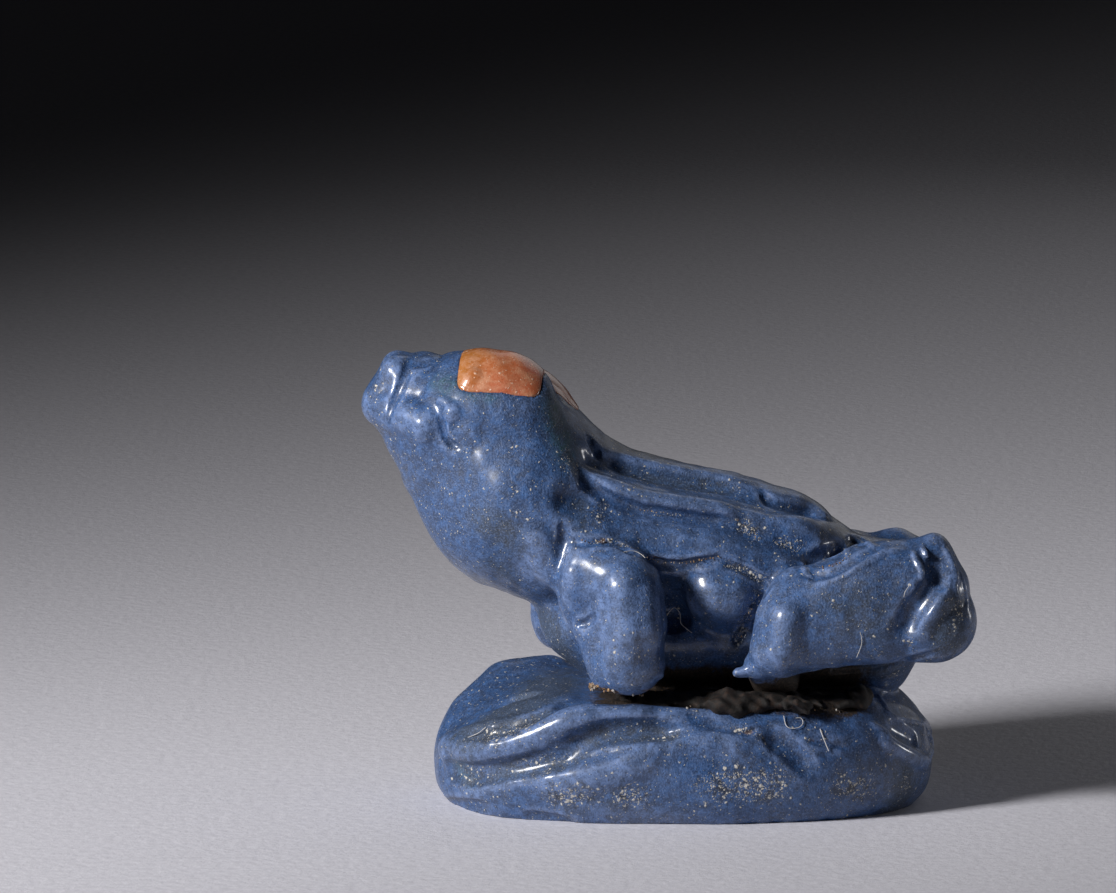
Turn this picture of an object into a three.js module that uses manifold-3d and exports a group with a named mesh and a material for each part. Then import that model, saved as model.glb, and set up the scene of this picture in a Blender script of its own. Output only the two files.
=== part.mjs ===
// Frog amulet of opaque blue glass, worked hot in one piece: a frog squatting on an oval pad with
// its head raised, and a bead of orange glass let into the head for each eye.
// Millimetres, +Z up. The frog faces -X, so its left side is towards -Y. The origin is under the
// middle of the whole amulet, on the surface that the pad stands on.

import * as THREE from "three";
import { edgeTable, triTable } from "three/addons/objects/MarchingCubes.js";
import { mergeVertices } from "three/addons/utils/BufferGeometryUtils.js";
import Module from "manifold-3d";

// Driving dimensions
const frogLength = 11; // snout to the back of the left knee
const padLength = 9.1;
const padWidth = 5.9;
const padHeight = 2.2; // ground to the top of the pad under the frog
const padRounding = 0.55; // of its upper and lower edges
const eyeLength = 1.58; // of each eye bead, along the head
const eyeWidth = 1.24; // of the same bead, up and down the side of the head
const eyeDepth = 0.95; // from its front to its back, in the head
const eyeRim = 0.24; // blue glass that swells round the lower side of a bead
const inlayClearance = 0.03; // between a bead and its socket
const grooveDepth = 0.12; // of the lines tooled along the back
const grooveWidth = 0.4;
const lipRadius = 0.3;
const footGap = 0.45; // open height between the pad and the belly

// Fineness of the faceted skin
const gridStep = 0.115;
const figureFacets = 8200;
const beadSegments = 24;

// The frog's pose and carving below are drawn for this length, and grow with frogLength
const drawnLength = 11;
const scale = frogLength / drawnLength;

const LEFT = -1;
const RIGHT = 1;
const sides = [LEFT, RIGHT];

// Signed distances, negative inside the glass

const clamp = (value, low, high) => Math.min(high, Math.max(low, value));

const easeBetween = (from, to, value) => {
  const t = clamp((value - from) / (to - from), 0, 1);
  return t * t * (3 - 2 * t);
};

// Two forms melted together over the given radius
const melt = (a, b, radius) => {
  const overlap = Math.max(radius - Math.abs(a - b), 0) / radius;
  return Math.min(a, b) - (overlap * overlap * radius) / 4;
};

// One form pressed out of another, with a rounded lip
const press = (form, tool, radius) => -melt(-form, tool, radius);

// Several forms as one, melted together over the given radius
const meltForms = (forms, radius) => (x, y, z) =>
  forms.map((form) => form(x, y, z)).reduce((a, b) => melt(a, b, radius));

// A strand through balls [x, y, z, radius]; widen stretches each ball along Y
function strand(balls, widen = 1) {
  const spans = balls.slice(1).map(([bx, by, bz, br], i) => {
    const [ax, ay, az, ar] = balls[i];
    const along = [bx - ax, (by - ay) / widen, bz - az];
    const square = along[0] ** 2 + along[1] ** 2 + along[2] ** 2;
    return { ax, ay, az, ar, along, square, growth: br - ar };
  });
  return (x, y, z) => {
    let nearest = Infinity;
    for (const { ax, ay, az, ar, along, square, growth } of spans) {
      const px = x - ax;
      const py = (y - ay) / widen;
      const pz = z - az;
      const t = clamp((px * along[0] + py * along[1] + pz * along[2]) / square, 0, 1);
      const qx = px - t * along[0];
      const qy = py - t * along[1];
      const qz = pz - t * along[2];
      nearest = Math.min(nearest, Math.sqrt(qx * qx + qy * qy + qz * qz) - ar - t * growth);
    }
    return nearest;
  };
}

// An ellipsoid, leaning by the given angle in the XZ plane
function lump([cx, cy, cz], [rx, ry, rz], lean = 0) {
  const cos = Math.cos(lean);
  const sin = Math.sin(lean);
  return (x, y, z) => {
    const u = (x - cx) * cos + (z - cz) * sin;
    const w = (z - cz) * cos - (x - cx) * sin;
    const v = y - cy;
    const inner = Math.hypot(u / rx, v / ry, w / rz);
    const slope = Math.hypot(u / (rx * rx), v / (ry * ry), w / (rz * rz));
    return slope > 0 ? (inner * (inner - 1)) / slope : -Math.min(rx, ry, rz);
  };
}

// The frog, drawn in millimetres with z measured from the top of the pad

const torsoWiden = 1.32;
const torsoBalls = [
  [4.35, 0, 1.42, 0.7],
  [3.4, 0, 1.64, 0.86],
  [1.95, 0, 2.15, 1.31],
  [0.9, 0, 2.36, 1.4],
  [-0.7, 0, 2.66, 1.47],
  [-1.9, 0, 3.04, 1.52],
  [-2.6, 0, 3.6, 1.52],
];
const torso = strand(torsoBalls, torsoWiden);

const head = strand(
  [
    [-2.6, 0, 3.65, 1.55],
    [-3.0, 0, 4.3, 1.38],
    [-3.65, -0.04, 4.76, 1.24],
    [-4.35, -0.06, 5.2, 0.8],
    [-4.72, -0.06, 5.42, 0.5],
  ],
  1.15,
);

const snoutTip = [-5.02, -0.06, 4.98, 0.4];

const throat = strand(
  [
    snoutTip,
    [-3.95, -0.04, 3.97, 0.86],
    [-2.95, 0, 2.9, 1.22],
    [-2.1, 0, 2.78, 1.3],
  ],
  1.2,
);

const belly = strand(
  [
    [-1.0, 0, footGap + 0.6, 0.6],
    [1.2, 0, footGap + 0.55, 0.55],
    [3.2, 0, footGap + 0.65, 0.55],
  ],
  2.6,
);

// The rump between the two folded legs
const rump = lump([4.0, 0, 1.4], [0.98, 1.9, 1.08]);

// The neck of glass that joins the belly to the pad, further in than the limbs
const stem = strand(
  [
    [-1.5, 0, 1.1, 0.8],
    [-0.9, 0, 0.5, 0.72],
    [1.4, 0, 0.4, 0.7],
    [3.85, 0, 0.35, 0.62],
  ],
  1.75,
);

// The hollow between the arm and the thigh, and the fold of the belly that bulges in it
const flankHollow = (side) =>
  strand([
    [-0.5, 2.25 * side, 1.85, 0.5],
    [0.4, 2.2 * side, 1.72, 0.62],
    [1.7, 2.2 * side, 1.55, 0.5],
  ]);

const bellyFold = (side) => lump([1.02, 1.3 * side, 1.8], [0.82, 0.72, 0.64], -0.3);

const upperLip = (side) =>
  strand([
    [-4.55, 0.36 * side, 5.66, lipRadius * 0.85],
    [-4.82, 0.32 * side, 5.58, lipRadius],
    [-4.91, 0.28 * side, 5.26, lipRadius * 0.9],
  ]);

const lowerLip = (side) =>
  strand([
    [-5.16, 0.28 * side, 5.02, lipRadius],
    [-4.75, 0.72 * side, 4.9, lipRadius * 1.1],
    [-4.28, 1.08 * side, 4.74, lipRadius * 0.9],
  ]);

const mouthLine = (side) =>
  strand([
    [-4.45, 0.56 * side, 6.1, 0.18],
    [-4.7, 0.66 * side, 5.42, 0.24],
    [-4.3, 1.0 * side, 5.12, 0.24],
    [-3.94, 1.42 * side, 4.84, 0.22],
  ]);

const armOuter = (side) =>
  strand([
    [-1.35, 1.8 * side, 2.3, 0.66],
    [-0.8, 2.15 * side, 2.1, 0.64],
    [-0.68, 2.26 * side, 1.35, 0.64],
    [-0.66, 2.3 * side, 0.72, 0.5],
  ]);

const armInner = (side) =>
  strand([
    [-1.5, 1.65 * side, 2.2, 0.48],
    [-1.48, 1.8 * side, 1.75, 0.42],
    [-1.15, 2.05 * side, 1.05, 0.42],
    [-1.05, 2.2 * side, 0.32, 0.42],
  ]);

const thigh = (side) =>
  strand(
    [
      [2.6, 2.2 * side, 1.48, 0.86],
      [3.7, 2.15 * side, 1.79, 1.04],
      [4.44, 2.1 * side, 1.9, 0.98],
      [4.82, 2.12 * side, 1.36, 0.68],
    ],
    1.05,
  );

const kneePlaces = { [LEFT]: [4.78, -2.2, 2.62], [RIGHT]: [4.2, 2.2, 2.6] };
const knee = (side) => lump(kneePlaces[side], [0.32, 0.34, 0.4]);

// The dent where the shank is folded behind the thigh
const kneeFold = (side) =>
  strand([
    [4.78, 2.95 * side, 3.1, 0.2],
    [4.62, 3.05 * side, 2.3, 0.32],
    [4.3, 3.12 * side, 1.6, 0.2],
  ]);

const shin = (side) =>
  strand([
    [2.22, 2.3 * side, 2.28, 0.36],
    [2.05, 2.48 * side, 1.65, 0.46],
    [1.92, 2.5 * side, 0.95, 0.44],
  ]);

const hindFoot = (side) =>
  strand([
    [1.95, 2.45 * side, 0.84, 0.38],
    [1.42, 2.3 * side, 0.72, 0.24],
    [1.9, 1.95 * side, 0.25, 0.46],
  ]);

// The two lines tooled along each side of the back. Each place on them is given by x, its angle
// from the spine, the height of the body's middle there, and the reach from that to the skin.
const backLinePlaces = [
  [
    [2.6, 0.36, 2.04, 1.16],
    [1.95, 0.5, 2.16, 1.36],
    [0.9, 0.48, 2.36, 1.43],
    [-0.7, 0.52, 2.66, 1.54],
    [-1.3, 0.64, 2.85, 1.62],
  ],
  [
    [2.5, 1.1, 2.06, 1.19],
    [1.95, 1.02, 2.16, 1.34],
    [0.9, 0.98, 2.36, 1.41],
    [-0.7, 1.08, 2.66, 1.5],
    [-1.75, 1.2, 2.99, 1.58],
  ],
];

const backLine = (side, line) => {
  const seat = grooveWidth / 2 - grooveDepth;
  return strand(
    line.map(([x, angle, z, reach]) => [
      x,
      side * (reach * torsoWiden + seat) * Math.sin(angle),
      z + (reach + seat) * Math.cos(angle),
      grooveWidth / 2,
    ]),
  );
};

// The groove across the crown, between the two eyes
const crownGroove = strand([
  [-3.3, 0.35, 6.3, 0.16],
  [-2.5, 0.02, 5.98, 0.2],
  [-2.12, -0.5, 5.2, 0.14],
]);

const legReach = 3.06; // from the middle to the flat outer side of a thigh

// The right leg lies lower than the left one by this much at the back
const legDrop = 0.62;

function hindLeg(side) {
  const leg = meltForms([thigh(side), knee(side)], 0.3);
  const outerSide = (y) => side * y - legReach;
  const fold = kneeFold(side);
  const front = meltForms([shin(side), hindFoot(side)], 0.12);
  const drop = side === RIGHT ? legDrop : 0;
  return (x, y, z) => {
    const lifted = z + drop * easeBetween(2, 4.2, x);
    const flat = -melt(-leg(x, y, lifted), -outerSide(y), 0.5);
    const folded = press(flat, fold(x, y, lifted), 0.2);
    return melt(folded, front(x, y, z), 0.14);
  };
}

// The right hand is set further forward than the left one by this much
const armStep = 0.95;

function arm(side) {
  const whole = meltForms([armOuter(side), armInner(side)], 0.16);
  const step = side === RIGHT ? armStep : 0;
  return (x, y, z) => whole(x + step * easeBetween(2.4, 0.6, z), y, z);
}

// Eyes. Each bead has a frame of its own: X along the head, Y up its side, Z out of the socket.
// The head is turned and tilted, so the right eye sits lower and further back.
const eyePlaces = {
  [LEFT]: { middle: [-3.03, -0.86, 5.62], outward: [-0.05, -0.64, 0.77], along: [0.99, 0, -0.15] },
  [RIGHT]: { middle: [-2.43, 0.52, 5.06], outward: [0.55, 0.36, 0.75], along: [0.74, 0.05, -0.66] },
};

function eyeFrame(side) {
  const { middle, outward, along } = eyePlaces[side];
  const z = new THREE.Vector3(...outward).normalize();
  const x = new THREE.Vector3(...along).projectOnPlane(z).normalize();
  const y = new THREE.Vector3().crossVectors(z, x);
  const frame = new THREE.Matrix4().makeBasis(x, y, z);
  return frame.setPosition(middle[0] * scale, middle[1] * scale, middle[2] * scale + padHeight);
}

const beadPower = 2.8; // 2 is an ellipsoid, and more is nearer to a box with round corners

// A bead, or with room round it its socket
function beadGeometry(room = 0) {
  const ball = new THREE.SphereGeometry(1, beadSegments, beadSegments / 2);
  ball.deleteAttribute("normal");
  ball.deleteAttribute("uv");
  const geometry = mergeVertices(ball, 1e-5);
  const half = [eyeLength, eyeWidth, eyeDepth].map((size) => size / 2 + room);
  const position = geometry.getAttribute("position");
  for (let i = 0; i < position.count; i++) {
    const way = [position.getX(i), position.getY(i), position.getZ(i)];
    const sum = way.reduce((total, part) => total + Math.abs(part) ** beadPower, 0);
    const reach = sum ** (-1 / beadPower);
    position.setXYZ(i, ...way.map((part, axis) => part * reach * half[axis]));
  }
  return geometry;
}

// The swelling of the head that holds a bead, in the amulet's frame
function eyeSwelling(side) {
  const inverse = eyeFrame(side).invert();
  const sunk = 0.1; // the swelling lies this much lower than the bead
  const reach = [eyeLength / 2 + eyeRim, eyeWidth / 2 + eyeRim, eyeDepth / 2];
  const form = lump([-0.3 * eyeRim, 0.75 * side * eyeRim, -sunk], reach);
  const place = new THREE.Vector3();
  return (x, y, z) => {
    place.set(x, y, z).applyMatrix4(inverse);
    return form(place.x, place.y, place.z);
  };
}

const bodyAndHead = meltForms([torso, head, throat], 0.5);
const backLines = meltForms(
  sides.flatMap((side) => backLinePlaces.map((line) => backLine(side, line))),
  0.1,
);
const lips = meltForms(sides.flatMap((side) => [upperLip(side), lowerLip(side)]), 0.2);
const mouth = meltForms(sides.map(mouthLine), 0.1);
const hollows = meltForms(sides.map(flankHollow), 0.1);
const folds = meltForms(sides.map(bellyFold), 0.1);
const limbs = meltForms(sides.flatMap((side) => [arm(side), hindLeg(side)]), 0.1);
const swellings = meltForms(sides.map(eyeSwelling), 0.2);

function frog(x, y, z) {
  let glass = bodyAndHead(x, y, z);
  glass = press(glass, backLines(x, y, z), 0.3);
  glass = melt(glass, lips(x, y, z), 0.25);
  glass = press(glass, mouth(x, y, z), 0.3);
  glass = press(glass, hollows(x, y, z), 0.2);
  glass = melt(glass, folds(x, y, z), 0.12);
  glass = melt(glass, belly(x, y, z), 0.2);
  glass = melt(glass, stem(x, y, z), 0.4);
  glass = melt(glass, rump(x, y, z), 0.4);
  return melt(glass, limbs(x, y, z), 0.2);
}

// The pad: an oval cushion, lower at both ends, with a roll of glass laid along its left front

const padMiddle = 0.31 * scale; // it reaches further back than the middle of the frog
const padSquareness = 2.35; // 2 is an ellipse
const padCut = 0.12 * padHeight; // formed this far under the ground, and cut flat there

const onPad = ([along, across, up, radius]) => [
  padMiddle + (along * padLength) / 2,
  (across * padWidth) / 2,
  up * padHeight,
  radius * padHeight,
];

const frontRoll = strand(
  [
    [-0.9, -0.36, 0.48, 0.15],
    [-0.72, -0.64, 0.66, 0.16],
    [-0.38, -0.82, 0.84, 0.15],
    [0.0, -0.82, 0.84, 0.11],
    [0.3, -0.76, 0.82, 0.05],
  ].map(onPad),
);

// A lobe of the same glass turned up at the right front
const frontLobe = strand(
  [
    [-0.54, 0.66, 0.86, 0.16],
    [-0.7, 0.5, 0.84, 0.15],
    [-0.8, 0.26, 0.7, 0.13],
  ].map(onPad),
);

const valleyUnderRoll = strand(
  [
    [-0.76, -0.84, 0.34, 0.05],
    [-0.5, -0.98, 0.5, 0.07],
    [-0.2, -1.03, 0.68, 0.07],
    [0.02, -1.03, 0.74, 0.04],
  ].map(onPad),
);

function pad(x, y, z) {
  const along = (x - padMiddle) / (padLength / 2);
  const across = y / (padWidth / 2);
  const sum = Math.abs(along) ** padSquareness + Math.abs(across) ** padSquareness;
  const reach = sum ** (1 / padSquareness);
  const outward = Math.hypot(x - padMiddle, y) * (1 - 1 / Math.max(reach, 0.05));
  const front = (0.34 - 0.26 * easeBetween(-0.2, 0.5, across)) * easeBetween(0.5, 1, -along);
  const slopes = front + 0.18 * easeBetween(0.72, 1, along);
  const top = padHeight * (0.98 - slopes - 0.1 * across ** 4);
  const upper = -melt(-outward, top - z, 2 * padRounding);
  const whole = -melt(-upper, z + padCut, 2 * padRounding);
  const rolled = melt(melt(whole, frontRoll(x, y, z), 0.15), frontLobe(x, y, z), 0.4);
  return press(rolled, valleyUnderRoll(x, y, z), 0.2);
}

const meltRadius = 0.12;

function figureField(x, y, z) {
  const standing = frog(x / scale, y / scale, (z - padHeight) / scale) * scale;
  const withEyes = melt(standing, swellings(x, y, z), 0.4);
  const crown = crownGroove(x / scale, y / scale, (z - padHeight) / scale) * scale;
  return melt(press(withEyes, crown, 0.25), pad(x, y, z), meltRadius);
}

// The corners of a grid cell, and the corners that each of its edges joins
const cellCorners = Array.from({ length: 8 }, (_, corner) => {
  const turn = corner % 4;
  return [turn === 1 || turn === 2 ? 1 : 0, turn > 1 ? 1 : 0, corner > 3 ? 1 : 0];
});
const cellEdges = Array.from({ length: 12 }, (_, edge) => {
  const turn = edge % 4;
  const next = (turn + 1) % 4;
  if (edge < 4) return [turn, next];
  return edge < 8 ? [turn + 4, next + 4] : [turn, turn + 4];
});

// Grid places from start up to the limits, with a stride along each axis
function* places3([nx, ny, nz], [i0, j0, k0], stride) {
  for (let k = k0; k < nz; k += stride)
    for (let j = j0; j < ny; j += stride)
      for (let i = i0; i < nx; i += stride) yield [i, j, k];
}

// The skin of a field over a box, by marching cubes, with one vertex on each crossed grid edge
function skinOf(field, box, step) {
  const [nx, ny, nz] = ["x", "y", "z"].map(
    (axis) => Math.ceil((box.max[axis] - box.min[axis]) / step) + 1,
  );
  const at = (i, j, k) => i + nx * (j + ny * k);
  const valueAt = (i, j, k) =>
    field(box.min.x + i * step, box.min.y + j * step, box.min.z + k * step);
  const values = new Float64Array(nx * ny * nz);
  const block = 4; // nodes along a block's side
  const clear = block * step * 1.1; // a field stronger than this has no skin in its block
  for (const [i0, j0, k0] of places3([nx, ny, nz], [0, 0, 0], block)) {
    const middle = valueAt(i0 + block / 2, j0 + block / 2, k0 + block / 2);
    const ends = [i0 + block, j0 + block, k0 + block];
    const limits = [nx, ny, nz].map((count, axis) => Math.min(count, ends[axis]));
    for (const [i, j, k] of places3(limits, [i0, j0, k0], 1))
      values[at(i, j, k)] = Math.abs(middle) > clear ? middle : valueAt(i, j, k);
  }

  const offCorner = 0.02; // share of a step that keeps vertices off the grid's corners
  const positions = [];
  const made = new Map();
  const vertexOn = (cell, edge) => {
    const [start, end] = cellEdges[edge].map((corner) =>
      cellCorners[corner].map((c, axis) => c + cell[axis]),
    );
    const a = at(...start);
    const b = at(...end);
    const key = Math.min(a, b) * values.length + Math.max(a, b);
    if (!made.has(key)) {
      const t = clamp(values[a] / (values[a] - values[b]), offCorner, 1 - offCorner);
      const place = start.map((c, axis) => c + t * (end[axis] - c));
      made.set(key, positions.length);
      positions.push(place.map((c, axis) => box.min.getComponent(axis) + c * step));
    }
    return made.get(key);
  };

  const faces = [];
  for (const [i, j, k] of places3([nx - 1, ny - 1, nz - 1], [0, 0, 0], 1)) {
    let kind = 0;
    cellCorners.forEach(([ci, cj, ck], bit) => {
      if (values[at(i + ci, j + cj, k + ck)] < 0) kind |= 1 << bit;
    });
    if (edgeTable[kind] === 0) continue;
    for (let n = 16 * kind; triTable[n] !== -1; n += 3) {
      const edges = [triTable[n], triTable[n + 2], triTable[n + 1]];
      faces.push(edges.map((edge) => vertexOn([i, j, k], edge)));
    }
  }
  return { positions, faces };
}

const less = ([ax, ay, az], [bx, by, bz]) => [ax - bx, ay - by, az - bz];
const dot = ([ax, ay, az], [bx, by, bz]) => ax * bx + ay * by + az * bz;
const cross = ([ax, ay, az], [bx, by, bz]) => [
  ay * bz - az * by,
  az * bx - ax * bz,
  ax * by - ay * bx,
];
const faceNormal = (a, b, c) => cross(less(b, a), less(c, a));

// Squared distance from the planes of a set of faces, weighted by their areas, as ten sums
function planeSums([nx, ny, nz], offset, weight) {
  const plane = [nx, ny, nz, offset];
  return plane.flatMap((p, i) => plane.slice(i).map((q) => p * q * weight));
}

function distanceTo(sums, [x, y, z]) {
  const place = [x, y, z, 1];
  let n = 0;
  let total = 0;
  for (let i = 0; i < 4; i++)
    for (let j = i; j < 4; j++) total += (i === j ? 1 : 2) * sums[n++] * place[i] * place[j];
  return total;
}

// The place nearest to all the planes of the sums, or null where they leave it open
function meetingPlace([xx, xy, xz, xo, yy, yz, yo, zz, zo]) {
  const matrix = new THREE.Matrix3(xx, xy, xz, xy, yy, yz, xz, yz, zz);
  const size = (xx + yy + zz) / 3;
  if (Math.abs(matrix.determinant()) < 1e-4 * size ** 3) return null;
  return new THREE.Vector3(-xo, -yo, -zo).applyMatrix3(matrix.invert()).toArray();
}

// Thins a closed skin to about the given number of faces. Each pass melts away the edges whose
// loss moves the skin least, where that folds no face over and pinches no neck shut.
function thin({ positions, faces }, target) {
  const places = positions.map((place) => [...place]);
  const sums = places.map(() => new Array(10).fill(0));
  for (const face of faces) {
    const normal = faceNormal(...face.map((v) => places[v]));
    const area = Math.hypot(...normal);
    if (area === 0) continue;
    const unit = normal.map((part) => part / area);
    const plane = planeSums(unit, -dot(unit, places[face[0]]), area);
    for (const v of face) plane.forEach((part, i) => (sums[v][i] += part));
  }

  const edgeCost = 2e-5; // of a long edge, so that slivers go first
  const steepest = 0.5; // cosine of the most that a face may turn
  const growth = 1.35; // of the allowance, from pass to pass
  const mostPasses = 60;
  let allowance = 1e-7;
  let live = faces.map((face) => [...face]);

  for (let pass = 0; pass < mostPasses && live.length > target; pass++) {
    const around = places.map(() => []);
    for (const face of live) for (const v of face) around[v].push(face);
    const neighbours = (v) => new Set(around[v].flat());
    const resting = new Uint8Array(places.length);
    let surplus = live.length - target;

    const keepsShape = (v, other, place) =>
      around[v].every((face) => {
        if (face.includes(other)) return true;
        const before = faceNormal(...face.map((w) => places[w]));
        const after = faceNormal(...face.map((w) => (w === v ? place : places[w])));
        return dot(before, after) > steepest * Math.hypot(...before) * Math.hypot(...after);
      });

    for (const corners of live.map((face) => [...face])) {
      for (let n = 0; n < 3; n++) {
        const a = corners[n];
        const b = corners[(n + 1) % 3];
        if (a > b || resting[a] || resting[b] || surplus <= 0) continue;
        const both = sums[a].map((part, i) => part + sums[b][i]);
        const middle = places[a].map((part, axis) => (part + places[b][axis]) / 2);
        const length = Math.hypot(...less(places[a], places[b]));
        const meeting = meetingPlace(both);
        const near = meeting && Math.hypot(...less(meeting, middle)) < length;
        const choices = near ? [meeting] : [middle, places[a], places[b]];
        const costs = choices.map((place) => distanceTo(both, place) + edgeCost * length ** 4);
        const cost = Math.min(...costs);
        if (cost > allowance) continue;
        const place = choices[costs.indexOf(cost)];
        const ofA = neighbours(a);
        const ofB = neighbours(b);
        const shared = [...ofA].filter((v) => v !== a && v !== b && ofB.has(v));
        if (shared.length !== 2) continue;
        if (!keepsShape(a, b, place) || !keepsShape(b, a, place)) continue;
        places[a] = place;
        sums[a] = both;
        for (const face of around[b]) {
          if (face.includes(a)) face.gone = true;
          face[face.indexOf(b)] = a;
        }
        for (const v of [...ofA, ...ofB]) resting[v] = 1;
        surplus -= 2;
      }
    }
    live = live.filter((face) => !face.gone);
    allowance *= growth;
  }
  return { positions: places, faces: live };
}

function toGeometry({ positions, faces }) {
  const geometry = new THREE.BufferGeometry();
  const used = [...new Set(faces.flat())];
  const numbers = new Map(used.map((v, i) => [v, i]));
  const list = used.flatMap((v) => positions[v]);
  geometry.setAttribute("position", new THREE.Float32BufferAttribute(list, 3));
  geometry.setIndex(faces.flat().map((v) => numbers.get(v)));
  return geometry;
}

function toFaces(geometry) {
  const place = geometry.getAttribute("position");
  const count = { length: place.count };
  const positions = Array.from(count, (_, i) => [place.getX(i), place.getY(i), place.getZ(i)]);
  const index = geometry.index.array;
  const faces = [];
  for (let n = 0; n < index.length; n += 3) faces.push([...index.slice(n, n + 3)]);
  return { positions, faces };
}

const wasm = await Module();
wasm.setup();

function toSolid(geometry) {
  const vertProperties = new Float32Array(geometry.getAttribute("position").array);
  const triVerts = new Uint32Array(geometry.index.array);
  return new wasm.Manifold(new wasm.Mesh({ numProp: 3, vertProperties, triVerts }));
}

function fromSolid(solid) {
  const { vertProperties, triVerts } = solid.getMesh();
  const geometry = new THREE.BufferGeometry();
  geometry.setAttribute("position", new THREE.BufferAttribute(vertProperties, 3));
  geometry.setIndex(new THREE.BufferAttribute(triVerts, 1));
  return geometry;
}

// A block under the ground, which cuts the pad's underside flat
function groundBlock(box) {
  const size = box.getSize(new THREE.Vector3());
  const block = new THREE.BoxGeometry(2 * size.x, 2 * size.y, size.z);
  block.deleteAttribute("normal");
  block.deleteAttribute("uv");
  return mergeVertices(block.translate(0, 0, -size.z / 2), 1e-5);
}

function makeFigure() {
  const room = 0.3; // past the farthest form on every side
  const padEnd = padMiddle + padLength / 2;
  const snoutEnd = (snoutTip[3] - snoutTip[0]) * scale;
  const halfLength = Math.max(snoutEnd, padEnd) + 2 * room;
  const halfWidth = Math.max(legReach * scale, padWidth / 2) + 2 * room;
  const topOfEyes = Math.max(...Object.values(eyePlaces).map(({ middle }) => middle[2])) * scale;
  const box = new THREE.Box3(
    new THREE.Vector3(-halfLength, -halfWidth, -padCut - room),
    new THREE.Vector3(halfLength, halfWidth, topOfEyes + eyeWidth / 2 + padHeight + 2 * room),
  );
  let solid = toSolid(toGeometry(skinOf(figureField, box, gridStep)));
  solid = solid.subtract(toSolid(groundBlock(box)));
  for (const side of sides) {
    const socket = beadGeometry(inlayClearance).applyMatrix4(eyeFrame(side));
    solid = solid.subtract(toSolid(socket));
  }
  const skin = thin(toFaces(fromSolid(solid)), figureFacets);
  const onGround = 0.02; // a vertex this near the ground lies on it
  for (const place of skin.positions) if (Math.abs(place[2]) < onGround) place[2] = 0;
  return toGeometry(skin);
}

const blueGlass = new THREE.MeshStandardMaterial({ color: 0x2f4f86, roughness: 0.3 });
const orangeGlass = new THREE.MeshStandardMaterial({ color: 0xb5622f, roughness: 0.2 });

const figure = new THREE.Mesh(makeFigure(), blueGlass);
figure.name = "frog_and_pad";

const amulet = new THREE.Group();
amulet.add(figure);
for (const side of sides) {
  const bead = new THREE.Mesh(beadGeometry(), orangeGlass);
  bead.name = side === LEFT ? "left_eye" : "right_eye";
  bead.applyMatrix4(eyeFrame(side));
  amulet.add(bead);
}

figure.geometry.computeBoundingBox();
const middle = figure.geometry.boundingBox.getCenter(new THREE.Vector3());
amulet.position.set(-middle.x, -middle.y, 0);

export default amulet;
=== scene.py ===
# A frog amulet of opaque blue glass, 11 mm long, standing on its pad, with orange glass let in for
# the eyes. It is ancient, so earth is left in the hollows, and loose dust fibres lie on it.
from concurrent.futures import ThreadPoolExecutor

import bpy
import numpy as np
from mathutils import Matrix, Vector


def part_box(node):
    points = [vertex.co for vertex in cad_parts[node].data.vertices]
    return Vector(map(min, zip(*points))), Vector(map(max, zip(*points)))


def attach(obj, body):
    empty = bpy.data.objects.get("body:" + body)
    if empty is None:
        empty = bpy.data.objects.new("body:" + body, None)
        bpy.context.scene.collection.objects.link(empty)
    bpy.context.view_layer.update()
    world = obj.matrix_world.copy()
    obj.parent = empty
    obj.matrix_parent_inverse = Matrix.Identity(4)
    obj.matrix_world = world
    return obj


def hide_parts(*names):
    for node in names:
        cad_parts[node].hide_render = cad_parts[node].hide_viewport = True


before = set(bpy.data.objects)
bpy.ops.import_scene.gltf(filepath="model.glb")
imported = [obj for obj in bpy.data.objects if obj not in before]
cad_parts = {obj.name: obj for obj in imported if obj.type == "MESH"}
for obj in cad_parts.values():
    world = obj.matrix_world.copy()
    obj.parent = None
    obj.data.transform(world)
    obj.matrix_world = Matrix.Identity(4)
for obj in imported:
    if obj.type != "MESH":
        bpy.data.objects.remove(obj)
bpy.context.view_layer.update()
MM = 0.001


# The view. The amulet is seen from its left side, from a little above, as a small thing on a
# table is seen through a long lens. Marks on the glass are laid out along the same lines of sight.
sight_aim = np.array([-1.95, 0.0, 6.44])
sight_distance = 190.0
sight_elevation = np.radians(9.0)
pixels_per_mm, photo_width, sensor_width = 55.3, 1116.0, 36.0
sight_back = np.array([0.0, -np.cos(sight_elevation), np.sin(sight_elevation)])
sight_eye = sight_aim + sight_distance * sight_back


def add_object(name, data):
    made = bpy.data.objects.new(name, data)
    bpy.context.scene.collection.objects.link(made)
    return made


camera_data = bpy.data.cameras.new("camera")
camera = add_object("camera", camera_data)
bpy.context.scene.camera = camera
camera_data.sensor_width = sensor_width
camera_data.lens = pixels_per_mm * sight_distance * sensor_width / photo_width
camera_data.clip_start = 0.01
camera_data.clip_end = 5.0
camera.location = sight_eye * MM
camera.rotation_euler = Vector(sight_back).to_track_quat("Z", "Y").to_euler()


# The frog and its pad, one mass of opaque blue glass. The maker built it up hot, from gathers and
# strands melted together, and tooled the lines, lips and folds into it while it was soft.
LEFT, RIGHT = -1, 1
both_sides = (LEFT, RIGHT)


def ease(start, end, value):
    t = np.clip((value - start) / (end - start), 0, 1)
    return t * t * (3 - 2 * t)


def melt(a, b, radius):
    """Two forms melted together over the radius. A form is its distance, negative in the glass."""
    overlap = np.maximum(radius - np.abs(a - b), 0) / radius
    return np.minimum(a, b) - overlap * overlap * radius / 4


def press(form, tool, radius):
    return -melt(-form, tool, radius)


def melt_all(forms, radius, p):
    total = forms[0](p)
    for form in forms[1:]:
        total = melt(total, form(p), radius)
    return total


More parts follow.
